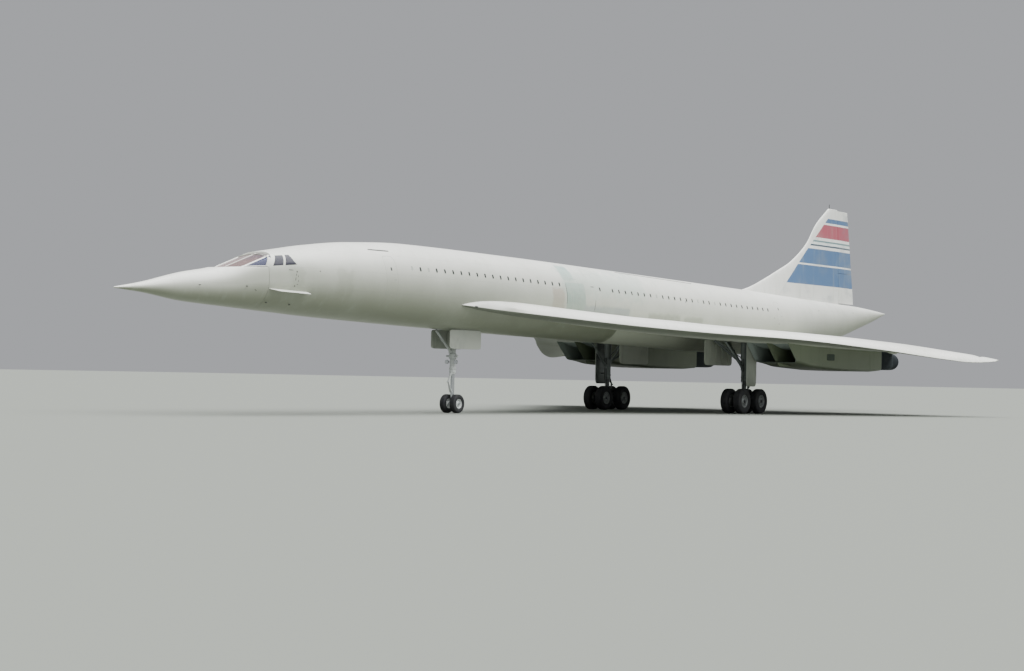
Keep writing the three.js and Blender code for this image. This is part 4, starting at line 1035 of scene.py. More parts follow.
def wingHeights(station, offset):
    # upper skin: crown x (1 - exp(-distance / blunt)) x (1 - t cubed) over the line from edge to edge,
    # less the hollow, which fades by a smooth step;
    # lower skin: belly x sin(pi t^0.6) under it, t being the share of the chord
    lead, leadHeight, trail, trailHeight, crown, belly, blunt = wingColumns(offset)
    t = np.clip((station - lead) / (trail - lead), 0, 1)
    line = leadHeight + (trailHeight - leadHeight) * t
    fromFront, toFull = wing["hollow"]
    fade = np.clip((t - fromFront) / (toFull - fromFront), 0, 1)
    hollow = np.interp(offset, hollowRows[:, 0], hollowRows[:, 1]) * (1 - fade * fade * (3 - 2 * fade))
    bulge = crown * (1 - hollow) * (1 - np.exp(-t * (trail - lead) / blunt)) * (1 - t ** 3)
    upper = line + bulge + wing["edge"]
    lower = line - belly * np.sin(np.pi * t ** 0.6) - wing["edge"]
    return upper, lower


def wingUnder(station, offset):
    # height of the lower skin
    return wingHeights(station, offset)[1]


def bayFront(offset, row):
    # station of the fixed wall in front of an elevon's round nose
    hinge = np.interp(offset, row[:2], row[2:])
    upper, lower = wingHeights(hinge, offset)
    return hinge - (upper - lower) / 2 + wing["edge"] - wing["gap"]


def makeWing(side):
    # rows run out along the span; each has the front part of the chord, up to the bay wall, and then
    # either the rear part or, in a bay, the wall itself
    inner, middle, outer = elevonRows.values()
    gap, root, tip = wing["endGap"], wingRows[0, 0], wingRows[-1, 0]
    # spans as from, to, elevon or None, rows of points
    spans = [
        (root, inner[0] - gap, None, 12), (inner[0] - gap, inner[1] + gap, inner, 14),
        (inner[1] + gap, middle[0] - gap, None, 16), (middle[0] - gap, middle[1] + gap, middle, 18),
        (outer[0] - gap, outer[1] + gap, outer, 24), (outer[1] + gap, tip, None, 24),
    ]
    offsets = np.concatenate([np.linspace(a, b, n) for a, b, _, n in spans])
    inBay = np.concatenate([np.full(n, row is not None) for _, _, row, n in spans])
    # the break between the two parts: the bay wall, and a line between bays outside them
    knots = [inner[0] - gap, inner[1] + gap, middle[0] - gap, middle[1] + gap, outer[1] + gap]
    walls = [bayFront(knot, row) for knot, row in zip(knots, (inner, inner, middle, outer, outer))]
    wall = np.interp(offsets, knots, walls)
    lead, _, trail, *_ = wingColumns(offsets)
    low, high = (lead + wing[k] * (trail - lead) for k in ("breakFrom", "breakTo"))
    wall = np.where(inBay, wall, np.clip(wall, low, high))
    u = np.linspace(0, 1, wing["front"])
    front = lead[:, None] + (wall - lead)[:, None] * u ** wing["bunch"]
    v = np.linspace(0, 1, wing["rear"] + 1)[1:]
    rear = wall[:, None] + np.where(inBay, 0, trail - wall)[:, None] * v
    chord = np.concatenate([front, rear], axis=1)
    upper, lower = wingHeights(chord, offsets[:, None])
    centre = (upper + lower) / 2
    # in a bay the rear part closes the wall from its edges to its middle
    close = np.concatenate([0 * front, np.where(inBay, 1, 0)[:, None] * v], axis=1)
    top, under = (pointsAt(chord, side * offsets[:, None], skin + (centre - skin) * close)
                  for skin in (upper, lower))
    ring = capped(np.concatenate([top, under[:, ::-1]], axis=1))
    columns = ring.shape[1]
    # the underside has its own paint, with painted shade and a painted fill light, but for the tip
    below = np.arange(columns) >= columns // 2
    finish = below & (np.abs(ring[:-1, :, 1]) < wing["tipPaint"])
    return [surface(ring, finish.reshape(-1))]


# the underside's painted shade: colours at the leading edge and further in, distances between which it
# changes, and the offset that stands for 1 on the ramp, in metres; the dark edge colour is painted shade,
# the pale inside colour a painted fill light
wingShade = {"edge": "70746A", "inside": "E0E3D8", "from": 0.1, "to": 1.3, "span": 6.4}


def underShade(tree):
    # a ramp over the station gives the leading edge's offset; the painted shade is darkest at the edge and
    # paler further in from it, a painted fill light
    place = put(tree, "ShaderNodeTexCoord").outputs["Object"]
    axes = put(tree, "ShaderNodeSeparateXYZ", {0: place}).outputs
    rows = [(float(noseTip + row[1] * mm), [float(row[0]) * mm / wingShade["span"]] * 3 + [1.0])
            for row in wingRows]
    edge = rampOver(tree, axes[0], rows[0][0], rows[-1][0], rows)
    edge = reckon(tree, "MULTIPLY", edge, wingShade["span"])
    inside = reckon(tree, "SUBTRACT", edge, reckon(tree, "ABSOLUTE", axes[1]))
    share = between(tree, inside, wingShade["from"], wingShade["to"])
    return blend(tree, share, tone(wingShade["edge"]), tone(wingShade["inside"]))


# the wing's underside: painted shade at the leading edge, paler further in as a painted fill light
wingUnderShadePaint = paintMaterial("wingUnderShadePaint", bellyShadeLook | {"bands": underShade})
makePair("wingSkin", makeWing, [skinPaint, wingUnderShadePaint], "wing")

# a small dark cap on each leading edge, close to the body
edgeCap = {"from": 9435, "to": 9510, "half": 17, "shift": 3}


def makeEdgeCap(side):
    path = []
    for station in (edgeCap["from"], edgeCap["to"]):
        offset = np.interp(station, wingRows[:3, 1], wingRows[:3, 0])
        height = smoothColumn(wingRows, 2, offset) - edgeCap["shift"]
        path.append([station, side * (offset + edgeCap["shift"]), height])
    return [limb(path, edgeCap["half"], side=(0, 0, 1), turns=16, bevel=4)]


makePair("edgeCap", makeEdgeCap, [darkSeal])

# jack fairings under the wing, in front of the middle and outer elevons: offset, half width, depth
fairingRows = [(3860, 40, 46), (4580, 38, 44), (5210, 34, 38), (5800, 26, 28)]
# columns: fraction of the length, fraction of the size
fairingShape = np.array([[0, 0.06], [0.2, 0.5], [0.5, 0.9], [0.8, 1], [1, 0.85]])
fairing = {"length": 560, "gap": 5}


def makeFairings(side):
    parts = []
    t = np.linspace(0, 1, 24)
    size = smoothColumn(fairingShape, 1, t)
    for offset, half, depth in fairingRows:
        row = next(r for r in elevonRows.values() if r[0] < offset < r[1])
        stations = bayFront(offset, row) - fairing["gap"] - fairing["length"] * (1 - t)
        path = pointsAt(stations, side * offset, wingUnder(stations, offset))
        parts.append(limb(path, half * size, depth * size, turns=24))
    return parts


makePair("jackFairings", makeFairings, [bellyShadePaint])
print("wings made")


# Fin: columns height, lead, half thickness
finRows = np.array([
    [2880, 20800, 92], [3205, 22500, 86], [3445, 23285, 82], [3740, 24135, 77], [3980, 24785, 72],
    [4530, 25725, 61], [5090, 26285, 50], [5590, 27050, 40],
], float)
fin = {"foot": 2880, "tip": 5590, "hinge": 27680, "lean": 0.04, "gap": 7, "round": 14, "rows": 70}


def makeFin():
    # rows climb the fin; half the thickness grows as a quarter ellipse over the front 0.4 of the chord
    shoulder = fin["tip"] - fin["round"]
    bend = fin["round"] * np.sin(np.linspace(0.2, 1, 5) * np.pi / 2)
    heights = np.concatenate([np.linspace(fin["foot"], shoulder, fin["rows"]), shoulder + bend])
    scale = np.sqrt(np.clip((fin["tip"] + 0.5 - heights) / fin["round"], 0, 1))[:, None]
    lead, half = (smoothColumn(finRows, k, heights) for k in (1, 2))
    rear = fin["hinge"] - fin["lean"] * (heights - fin["foot"]) - half - fin["gap"]
    t = np.linspace(0, 1, 40) ** 1.8
    chord = lead[:, None] + (rear - lead)[:, None] * t
    width = (2 + half[:, None] * np.sqrt(1 - (1 - np.minimum(t / 0.4, 1)) ** 2)) * scale
    near, far = (pointsAt(chord, k * width, heights[:, None]) for k in (-1, 1))
    return surface(capped(np.concatenate([near, far[:, ::-1]], axis=1)))


def finBands(tree):
    # level bands of a plain made-up livery, in one ramp over the height, behind a slanted front border
    place = put(tree, "ShaderNodeTexCoord").outputs["Object"]
    axes = put(tree, "ShaderNodeSeparateXYZ", {0: place}).outputs
    wear = reckon(tree, "SUBTRACT", cloud(tree, 40.0, detail=8.0), 0.5)
    height = reckon(tree, "ADD", axes[2], reckon(tree, "MULTIPLY", wear, 0.01))
    bands = [(level, tone(code)) for level, code in livery["bands"]]
    stripes = rampOver(tree, height, bands[0][0], livery["top"], bands, "CONSTANT")
    border = reckon(tree, "MULTIPLY", axes[2], livery["borderLean"])
    border = reckon(tree, "ADD", livery["borderFoot"], border)
    inside = between(tree, reckon(tree, "SUBTRACT", axes[0], border), 0.0, 0.004)
    scuff = between(tree, cloud(tree, 1.3, (1.0, 1.0, 1.6), detail=5.0), 0.5, 0.75, (0.0, 0.4))
    shade = blend(tree, inside, tone(skinLook["colour"]), stripes)
    return blend(tree, reckon(tree, "MULTIPLY", scuff, inside), shade, tone("75808A"))


livery = {
    "borderFoot": 4.50, "borderLean": 1.324, "top": 5.6,
    # level at which each band starts, and its colour
    "bands": [
        (3.30, "E2E3DD"), (3.42, "4C6C93"), (3.95, "E8E9E4"), (4.00, "4C6C93"), (4.42, "E8E9E4"),
        (4.50, "3E4E5E"), (4.54, "DDE6E2"), (4.62, "6D8A8C"), (4.66, "E8E9E4"), (4.74, "A54F5C"),
        (5.12, "E8E9E4"), (5.17, "4C6C93"), (5.30, "E2E3DD"),
    ],
}
finPaint = paintMaterial("finPaint", skinLook | {"bands": finBands, "underShadeAndDirtAmount": 0.0, "pitchUp": 0.55})
makePiece("finSkin", [makeFin()], [finPaint], "airframe", ["fin"])
print("fin made")


# Nacelles: a trough with two ducts under each wing, raked at the mouth
nacelle = {
    "inner": 2150, "outer": 3250, "wall": 36, "splitter": 60, "floor": 34, "mouth": 18425,
    "mouthHeight": 1700, "lip": 18950, "lipHeight": 1225, "end": 23620, "into": 25,
    "corner": 75, "cornerInside": 40,
}
# columns: station, height
keelRows = np.array([
    [18950, 1225], [19300, 1187], [19700, 1133], [20500, 1098], [21500, 1065], [22900, 1060],
    [23620, 1095],
], float)
# the splitter's foot reaches below the lips: columns station, height
footRows = np.array([[18985, 1220], [19045, 1140], [19700, 1133]], float)
nacelleMiddle = (nacelle["inner"] + nacelle["outer"]) / 2
ductWidth = (nacelle["outer"] - nacelle["inner"] - 2 * nacelle["wall"] - nacelle["splitter"]) / 2
ductCentres = [nacelleMiddle + k * (ductWidth + nacelle["splitter"]) / 2 for k in (-1, 1)]


def mouthStation(height):
    # the raked mouth: station of the front edge at a height
    rake = (nacelle["lip"] - nacelle["mouth"]) / (nacelle["mouthHeight"] - nacelle["lipHeight"])
    return nacelle["mouth"] + np.clip(nacelle["mouthHeight"] - height, 0, None) * rake


def troughPath(inset, floor, corner):
    # section of the trough from the inner wall's head down, along the floor and up the outer wall: offset,
    # rise over the keel, and share of the way up to the wing
    low, high = nacelle["inner"] + inset, nacelle["outer"] - inset
    wall = np.linspace(1, 0, 7)[:-1]
    arc = np.linspace(0, np.pi / 2, 9)
    offset = np.concatenate([
        np.full(6, low), low + corner * (1 - np.cos(arc)), np.linspace(low, high, 5)[1:-1],
        high - corner * (1 - np.cos(arc[::-1])), np.full(6, high)])
    bend = corner * (1 - np.sin(arc))
    rise = np.concatenate([np.full(6, corner), bend, [0, 0, 0], bend[::-1], np.full(6, corner)]) + floor
    share = np.concatenate([wall, np.zeros(21), wall[::-1]])
    return offset, rise, share


def troughGrid(path, t):
    # the section carried from the raked mouth, at t = 0, to the rear end
    offset, rise, share = path
    start = mouthStation((nacelle["lipHeight"] + rise) * (1 - share) + nacelle["mouthHeight"] * share)
    station = start + (nacelle["end"] - start) * t[:, None]
    height = (smoothColumn(keelRows, 1, station) + rise) * (1 - share) + wingRoof(station, offset) * share
    return pointsAt(station, offset, height)


def wingRoof(station, offset):
    return wingUnder(station, offset) + nacelle["into"]


def mirrored(grid, side):
    return grid * np.array([1, side, 1])


# splitter: how far it starts ahead of the lips, stations of its foot, and length over which that thickens
splitter = {"early": 20, "foot": (18985, 19045, 19100, 19700), "footGrow": 90}
rampDoor = {"from": 260, "to": 1650, "drop": 110}


def makeSplitter(station, low, high, thick, side):
    # wall on the middle line of the nacelle between two heights, thick to both sides of it
    height = low + (high - low) * np.linspace(0, 1, 9)
    left, right = (pointsAt(station, nacelleMiddle + k * thick, height) for k in (-1, 1))
    return surface(mirrored(slab(left, right), side))


def makeNacelle(side):
    t = np.concatenate([np.linspace(0, 0.06, 7), np.linspace(0.09, 1, 34)])
    outside = troughGrid(troughPath(0, 0, nacelle["corner"]), t)
    inside = troughGrid(troughPath(nacelle["wall"], nacelle["floor"], nacelle["cornerInside"]), t)
    sharpen = np.clip(0.12 + t / 0.045, 0, 1)[:, None, None]
    inside[..., 1:] = outside[..., 1:] + (inside - outside)[..., 1:] * sharpen
    grid = slab(outside, inside)
    columns = grid.shape[1]
    finish = np.broadcast_to(np.arange(columns) >= columns // 2, (len(grid) - 1, columns))
    parts = [surface(mirrored(grid, side), finish.reshape(-1))]
    # splitter between the ducts, thin at its raked front edge
    halfFloor, halfThick = nacelle["floor"] / 2, nacelle["splitter"] / 2
    u = np.concatenate([np.linspace(0, 0.04, 5), np.linspace(0.08, 1, 20)])[:, None]
    low = nacelle["lipHeight"] + halfFloor
    start = mouthStation(low + (nacelle["mouthHeight"] - low) * np.linspace(0, 1, 9)) - splitter["early"]
    station = start + (nacelle["end"] - start) * u
    keel = smoothColumn(keelRows, 1, station) + halfFloor
    thick = halfThick * np.clip(0.1 + u / 0.035, 0, 1)
    parts.append(makeSplitter(station, keel, wingRoof(station, nacelleMiddle), thick, side))
    # the splitter's foot, from its own lower edge up into the floor
    first, second, third, last = splitter["foot"]
    station = np.concatenate([np.linspace(first, second, 6), np.linspace(third, last, 12)])[:, None]
    foot = np.interp(station, footRows[:, 0], footRows[:, 1])
    thick = halfThick * np.clip(0.1 + (station - first) / splitter["footGrow"], 0, 1)
    parts.append(makeSplitter(station, foot, smoothColumn(keelRows, 1, station) + halfFloor, thick, side))
    # ramp doors in each duct's roof
    s = np.linspace(nacelle["mouth"] + rampDoor["from"], nacelle["mouth"] + rampDoor["to"], 12)[:, None]
    drop = rampDoor["drop"] * np.sin(np.pi * np.linspace(0.04, 0.96, 12))[:, None] ** 1.2
    for centre in ductCentres:
        y = np.linspace(centre - ductWidth / 2, centre + ductWidth / 2, 5)
        roof = wingRoof(s, y)
        door = slab(pointsAt(s, y, roof), pointsAt(s, y, roof - nacelle["into"] - drop))
        parts.append(surface(mirrored(door, side), 1))
    return parts


makePair("nacelleBox", makeNacelle, [nacellePaint, ductLining], "nacelle")

# square vent with slats on the nacelle's outer wall
vent = {
    "station": 20715, "height": 1385, "half": (210, 80), "slats": 5, "slatHalf": (190, 3, 5), "spread": 0.7}


def makeVent(side):
    station, height = vent["station"], vent["height"]
    halfLong, halfThick, halfTall = vent["slatHalf"]
    wall = side * (nacelle["outer"] + 1)
    parts = [plate((station, wall, height), *vent["half"], 4, 9, 32)]
    reach = vent["spread"] * vent["half"][1]
    for middle in np.linspace(height - reach, height + reach, vent["slats"]):
        parts.append(block(span(station, halfLong), span(wall, halfThick), span(middle, halfTall), 1))
    return parts


makePair("nacelleVents", makeVent, [ventGrille])

# Nozzles: a short box fairing that turns into two round barrels with eyelid doors
nozzle = {"from": 23621, "roofTo": 24290, "height": 1335, "inset": 14, "turns": 48}
petal = {"count": 24, "half": 0.11, "from": 24480, "long": 210, "radius": 178, "draw": 12, "thick": 5}
lid = {"from": 24520, "to": 24796, "radius": 217, "draw": 10, "over": 280, "edge": 0.42, "thick": 9}
# columns: station, half width, half height, squareness
nozzleRows = np.array([
    [23620.5, 274, 220, 9], [23860, 271, 220, 7.5], [24100, 268, 219, 6], [24380, 252, 217, 3.6],
    [24560, 232, 213, 2.4], [24790, 215, 204, 2], [24800, 214, 203, 2]])
# columns: station, radius
boreRows = [(24800, 192), (24600, 180), (24300, 188), (23620.5, 195)]


def arcPoints(station, centre, radius, turn):
    # points round a barrel's middle line
    return pointsAt(station, centre + radius * np.cos(turn), nozzle["height"] + radius * np.sin(turn))


def barrelRing(station, centre, wide, tall, square):
    x, y = outline(nozzle["turns"], square)
    return pointsAt(station, centre + wide * x, nozzle["height"] + tall * y)


def makeNozzles(side):
    # the roof closes the space between the barrels and the wing
    s = np.linspace(nozzle["from"], nozzle["roofTo"], 12)[:, None]
    y = np.linspace(nacelle["inner"] + nozzle["inset"], nacelle["outer"] - nozzle["inset"], 9)
    roof = slab(pointsAt(s, y, wingUnder(s, y) + 3), pointsAt(s, y, nozzle["height"] + 120))
    parts = [surface(mirrored(roof, side))]
    for centre in ductCentres:
        # outside: a rounded box drawn in to a circle as it runs aft; inside: a tapered bore
        rows = [barrelRing(s, centre, wide, tall, square) for s, wide, tall, square in nozzleRows]
        rows += [barrelRing(s, centre, radius, radius, 2) for s, radius in boreRows]
        place = np.arange(len(rows))
        finish = np.where(place >= len(nozzleRows), 1, np.where(place >= 3, 2, 0))
        finish = np.repeat(finish, nozzle["turns"])
        parts.append(surface(mirrored(np.stack(rows), side), finish, roundRows=True))
        # petals round the bore
        turn = np.linspace(0, 2 * np.pi, petal["count"], endpoint=False)[:, None, None]
        turn = turn + np.linspace(-petal["half"], petal["half"], 4)
        rise = np.linspace(0, 1, 4)[:, None]
        station, radius = petal["from"] + petal["long"] * rise, petal["radius"] - petal["draw"] * rise
        outer, inner = (arcPoints(station, centre, radius - k, turn) for k in (0, petal["thick"]))
        parts.append(surface(mirrored(slab(outer, inner), side), 2))
        # eyelid doors above and below the barrel
        station = np.linspace(lid["from"], lid["to"], 8)[:, None]
        radius = lid["radius"] - lid["draw"] * ((station - lid["from"]) / lid["over"]) ** 2
        for sign in (1, -1):
            turn = sign * np.linspace(lid["edge"], np.pi - lid["edge"], 20)
            outer, inner = (arcPoints(station, centre, radius - k, turn) for k in (0, lid["thick"]))
            parts.append(surface(mirrored(slab(outer, inner), side), 2))
    return parts


makePair("nozzles", makeNozzles, [nozzleMetal, ductLining, burntMetal], "nozzle_pair")
print("nacelles made")


# Wheels: tyres with grooves, and dished hubs with a ring of bolts
wheelSizes = {
    "main": {"radius": 294.8, "half": 100, "axle": 34.6, "bolts": 12, "grooves": (-54, -18, 18, 54)},
    "nose": {"radius": 194.3, "half": 68, "axle": 24.6, "bolts": 9, "grooves": (-30, 0, 30)},
}


def tyreProfile(size):
    # closed profile of (radius, offset): bead, bulged wall, round shoulder and a grooved tread
    radius, half = size["radius"], size["half"]
    wall = [(0.5, 0.70), (0.54, 0.84), (0.62, 0.97), (0.72, 1.0), (0.82, 0.985), (0.90, 0.93),
            (0.955, 0.83), (0.985, 0.72), (0.996, 0.64)]
    port = [(r * radius, -y * half) for r, y in wall]
    starboard = [(r * radius, y * half) for r, y in reversed(wall)]
    tread = []
    # the tread is slightly crowned, and each groove is 6 deep with sloping walls
    for groove in size["grooves"]:
        crown = radius - 0.004 * radius * (groove / (0.64 * half)) ** 2
        tread += [(crown - depth, groove + y) for depth, y in ((0, -5), (6, -4), (6, 4), (0, 5))]
    return port + tread + starboard + [(0.49 * radius, 0.6 * half), (0.49 * radius, -0.6 * half)]


def hubProfile(size):
    radius, half, axle = size["radius"], size["half"], size["axle"]
    # rim, dish and boss as shares of the tyre's radius and half width, then the bore for the axle
    rim = [(0.505, 0.66), (0.515, 0.76), (0.49, 0.80), (0.455, 0.72), (0.43, 0.48), (0.27, 0.40),
           (0.22, 0.62)]
    face = [(r * radius, y) for r, y in rim] + [(axle + 12, 0.68), (axle, 0.66)]
    return [(r, y * half) for r, y in face] + [(r, -y * half) for r, y in reversed(face)]


def makeWheel(size, centre):
    parts = [turned(tyreProfile(size), centre, 56, 0), turned(hubProfile(size), centre, 40, 1)]
    ring = 0.345 * size["radius"]
    for face in (-1, 1):
        for a in np.linspace(0, 2 * np.pi, size["bolts"], endpoint=False):
            station, height = centre[0] + ring * math.cos(a), centre[2] + ring * math.sin(a)
            path = [[station, centre[1] + face * y * size["half"], height] for y in (0.38, 0.50)]
            parts.append(limb(path, 0.03 * size["radius"], side=(1, 0, 0), turns=6, finish=2))
    return parts


gear = {"station": 18790, "offset": 1930, "track": 340, "base": 835, "hub": 294.8}
for sideName, side in sideSigns.items():
    for foreAft, k in (("front", -1), ("rear", 1)):
        parts, nodes = [], []
        for name, sign in (("inner", -1), ("outer", 1)):
            centre = (gear["station"] + k * gear["base"] / 2,
                      side * (gear["offset"] + sign * gear["track"] / 2), gear["hub"])
            parts += makeWheel(wheelSizes["main"], centre)
            nodes.append(f"main_wheel_{foreAft}_{name}_{sideName}")
        makePiece(f"mainWheels_{foreAft}_{sideName}", parts, [tyreRubber, hubPaint, darkSeal],
                  f"main_wheels_{foreAft}_{sideName}", nodes, sharp=40)

noseGear = {"station": 9695, "track": 255, "hub": 194.33}
parts = []
for sign in (-1, 1):
    centre = (noseGear["station"], sign * noseGear["track"] / 2, noseGear["hub"])
    parts += makeWheel(wheelSizes["nose"], centre)
makePiece("noseWheelPair", parts, [tyreRubber, noseGearPaint, darkSeal], "nose_wheels",
          ["nose_wheel_starboard", "nose_wheel_port"], sharp=40)

# tail bumper: half of a small wheel's profile, as (radius, offset) from the axle out to the tread's edge
bumper = {"station": 26600, "height": 1190, "offset": 55, "axle": 12, "reach": 58}
bumperProfile = [(12.5, 18), (30, 18), (34, 14), (44, 16), (50, 20), (57, 19), (61, 12)]
profile = [(radius, -y) for radius, y in bumperProfile] + bumperProfile[::-1]
parts = [turned(profile, (bumper["station"], y, bumper["height"]))
         for y in (-bumper["offset"], bumper["offset"])]
parts.append(crossPin(bumper["station"], 0, bumper["height"], bumper["reach"], bumper["axle"], turns=16,
                      finish=1))
makePiece("bumperWheels", parts, [tyreRubber, gearPaint], "tail_bumper_pair",
          ["tail_bumper_wheels"])
print("wheels made")


# Main landing gear

def makeAxle(station, offset, height, reach, rows, **looks):
    # axle across the aircraft; rows of (share of the reach, radius) say its starboard half
    rows = np.array(rows, float)
    share, radius = np.concatenate([rows[::-1] * [-1, 1], rows]).T
    path = pointsAt(station, offset + reach * share, height)
    return limb(path, radius, side=(1, 0, 0), **looks)


def makeLinks(station, offset, link):
    # torque links: two tapered blades with a cross pin at the knee
    aft, kneeHeight = link["knee"]
    knee = [station + aft, offset, kneeHeight]
    parts = []
    for height, root in link["roots"]:
        start = [station + link["from"], offset, height]
        parts.append(limb([start, knee], [root, link["end"]], link["thick"], square=3, turns=16,
                          bevel=link["bevel"]))
    parts.append(crossPin(*knee, link["pinReach"], link["pin"], turns=link["pinTurns"], bevel=3))
    return parts


# leg: heights and radii down the cylinder and the piston, which ends over the axles by ankle;
# pipes down its back: distance aft, height
mainLeg = {
    "cylinder": [
        (1330, 95), (1322, 101), (1292, 101), (1284, 80), (1180, 78), (1174, 84), (1150, 84), (1144, 78),
        (880, 78), (874, 86), (846, 86), (840, 78), (790, 78), (784, 85), (762, 85), (756, 70)],
    "piston": [(770, 52), (400, 52), (394, 60)], "ankle": 75,
    "pipes": np.array([[-100, 1290], [-96, 1180], [-92, 1000], [-92, 800], [-72, 640], [-66, 420]], float),
    "pipeOffset": 26, "pipe": 6,
}
mainLink = {
    "from": 60, "knee": (210, 626), "roots": [(800, 44), (430, 40)], "end": 20, "thick": [17, 13],
    "bevel": 4, "pin": 17, "pinReach": 34, "pinTurns": 16,
    "rootPin": 15, "rootPinAt": 62, "rootPinReach": 50,
}


def makeMainLeg(side):
    s, y = gear["station"], side * gear["offset"]
    ankle = gear["hub"] + mainLeg["ankle"]
    cylinder = [(wingUnder(s, gear["offset"]) - 1, 95)] + mainLeg["cylinder"]
    parts = [upright(s, y, cylinder), upright(s, y, mainLeg["piston"] + [(ankle, 60)], 1)]
    parts += makeLinks(s, y, mainLink)
    for height, _ in mainLink["roots"]:
        parts.append(crossPin(s + mainLink["rootPinAt"], y, height, mainLink["rootPinReach"],
                              mainLink["rootPin"], turns=16, bevel=3))
    pipes = mainLeg["pipes"]
    fine = np.linspace(0, len(pipes) - 1, 40)
    aft, height = (np.interp(fine, np.arange(len(pipes)), pipes[:, k]) for k in (0, 1))
    for shift in (mainLeg["pipeOffset"], -mainLeg["pipeOffset"]):
        parts.append(limb(pointsAt(s + aft, y + shift, height), mainLeg["pipe"], turns=8, finish=2))
    return parts


# Bars of the main gear: rows are the share of the way and the radius there. A stay's foot is a distance
# inward from the leg and a height, and its heads are distances aft. The strut's foot is a distance aft and
# a height, and its head a distance aft and one inward. The jack's ends are aft, offset and, below, height.
sideStay = {
    "foot": (118, 1215), "heads": (-290, 410), "headOffset": 1250,
    "rows": [(0.02, 30), (0.08, 30), (0.1, 24), (0.5, 24), (0.52, 32), (0.56, 32), (0.58, 24), (0.9, 24),
             (0.92, 31), (0.985, 31)],
    "block": ((-45, 45), (1822, 1851), (1170, 1260)),
    "jackFoot": (-30, 1846, 1330), "jackHead": (-250, 1290),
    "rod": [(0, 12), (0.5, 12)], "jack": [(0.42, 20), (0.45, 24), (0.96, 24)],
}
dragStrut = {
    "foot": (-112, 1090), "head": (-880, 58),
    "rows": [(0, 36), (0.05, 36), (0.07, 29), (0.46, 29), (0.48, 38), (0.55, 38), (0.57, 24), (0.97, 24)],
    "block": ((-138, -79), (-35, 35), (1022, 1128)),
}


def makeSideStay(side):
    s = gear["station"]
    inward, height = sideStay["foot"]
    foot = [s, side * (gear["offset"] - inward), height]
    parts = []
    for shift in sideStay["heads"]:
        offset = sideStay["headOffset"]
        head = [s + shift, side * offset, wingUnder(s + shift, offset) - 1]
        parts.append(strut(foot, head, sideStay["rows"], turns=18))
    stations, offsets, heights = (np.array(pair) for pair in sideStay["block"])
    parts.append(block(s + stations, side * offsets, heights, 8))
    # jack beside the stay: a bright rod in a cylinder
    shift, offset, height = sideStay["jackFoot"]
    foot = [s + shift, side * offset, height]
    shift, offset = sideStay["jackHead"]
    head = [s + shift, side * offset, wingUnder(s + shift, offset) - 2]
    parts.append(strut(foot, head, sideStay["rod"], turns=14, finish=1))
    parts.append(strut(foot, head, sideStay["jack"], turns=16))
    return parts


def makeDragStrut(side):
    s, y = gear["station"], side * gear["offset"]
    aft, height = dragStrut["foot"]
    shift, inward = dragStrut["head"]
    top = wingUnder(s + shift, gear["offset"] - inward) - 2
    stations, offsets, heights = (np.array(pair) for pair in dragStrut["block"])
    return [strut([s + aft, y, height], [s + shift, y - side * inward, top], dragStrut["rows"], turns=20),
            block(s + stations, y + offsets, heights, 8)]


# upright doors: place and shape of the panel, then the ribs on one of its faces
legDoor = {
    "station": 18775, "offset": 2118, "halfLong": 253, "thick": 16, "square": 9, "heights": (643, 1747),
    "ribDepth": (-9, -26), "ribHalf": 12, "bevel": 4,
    "ribs": (760, 1010, 1250, 1500), "ribStations": (18560, 18990),
    "pins": (900, 1250), "pinOffset": 2060.5, "pinReach": 51.5, "pin": 18,
}
bayDoor = {
    "station": 18825, "offset": 1189, "halfLong": 670, "thick": 18, "square": 12, "heights": (1134, 1746),
    "ribDepth": (9, 27), "ribHalf": 12, "bevel": 3,
    "ribs": (18400, 18690, 18980, 19270), "ribHeights": (1180, 1690),
}


def makeDoor(door, side, heights, ribs, faces=(0, 0), ribFinish=0):
    # panel between two heights; each rib is a pair of stations and a pair of heights
    low, high = heights
    y = side * door["offset"]
    centre = (door["station"], y, (low + high) / 2)
    parts = [plate(centre, door["halfLong"], (high - low) / 2, door["thick"], door["square"], 64, faces)]
    offsets = [y + side * depth for depth in door["ribDepth"]]
    for stations, levels in ribs:
        parts.append(block(stations, offsets, levels, door["bevel"], ribFinish))
    return parts


def makeLegDoor(side):
    # the outer face is painted, and the inner face carries ribs and the pins to the leg
    ribs = [(legDoor["ribStations"], span(height, legDoor["ribHalf"])) for height in legDoor["ribs"]]
    parts = makeDoor(legDoor, side, legDoor["heights"], ribs, (0, 1) if side > 0 else (1, 0), 1)
    for height in legDoor["pins"]:
        parts.append(crossPin(gear["station"], side * legDoor["pinOffset"], height, legDoor["pinReach"],
                              legDoor["pin"], turns=16, finish=1))
    return parts


def makeBayDoor(side):
    ribs = [(span(station, bayDoor["ribHalf"]), bayDoor["ribHeights"]) for station in bayDoor["ribs"]]
    return makeDoor(bayDoor, side, bayDoor["heights"], ribs)


# bogie: axle rows as (share of the reach, radius), drums as (distance from the beam, radius)
bogie = {
    "axle": [(0.94, 33.8), (0.985, 33.8), (1, 20)], "axleReach": 108, "drum": [(56, 90), (68, 96)],
    "post": [(30, 66), (0, 60)],
}


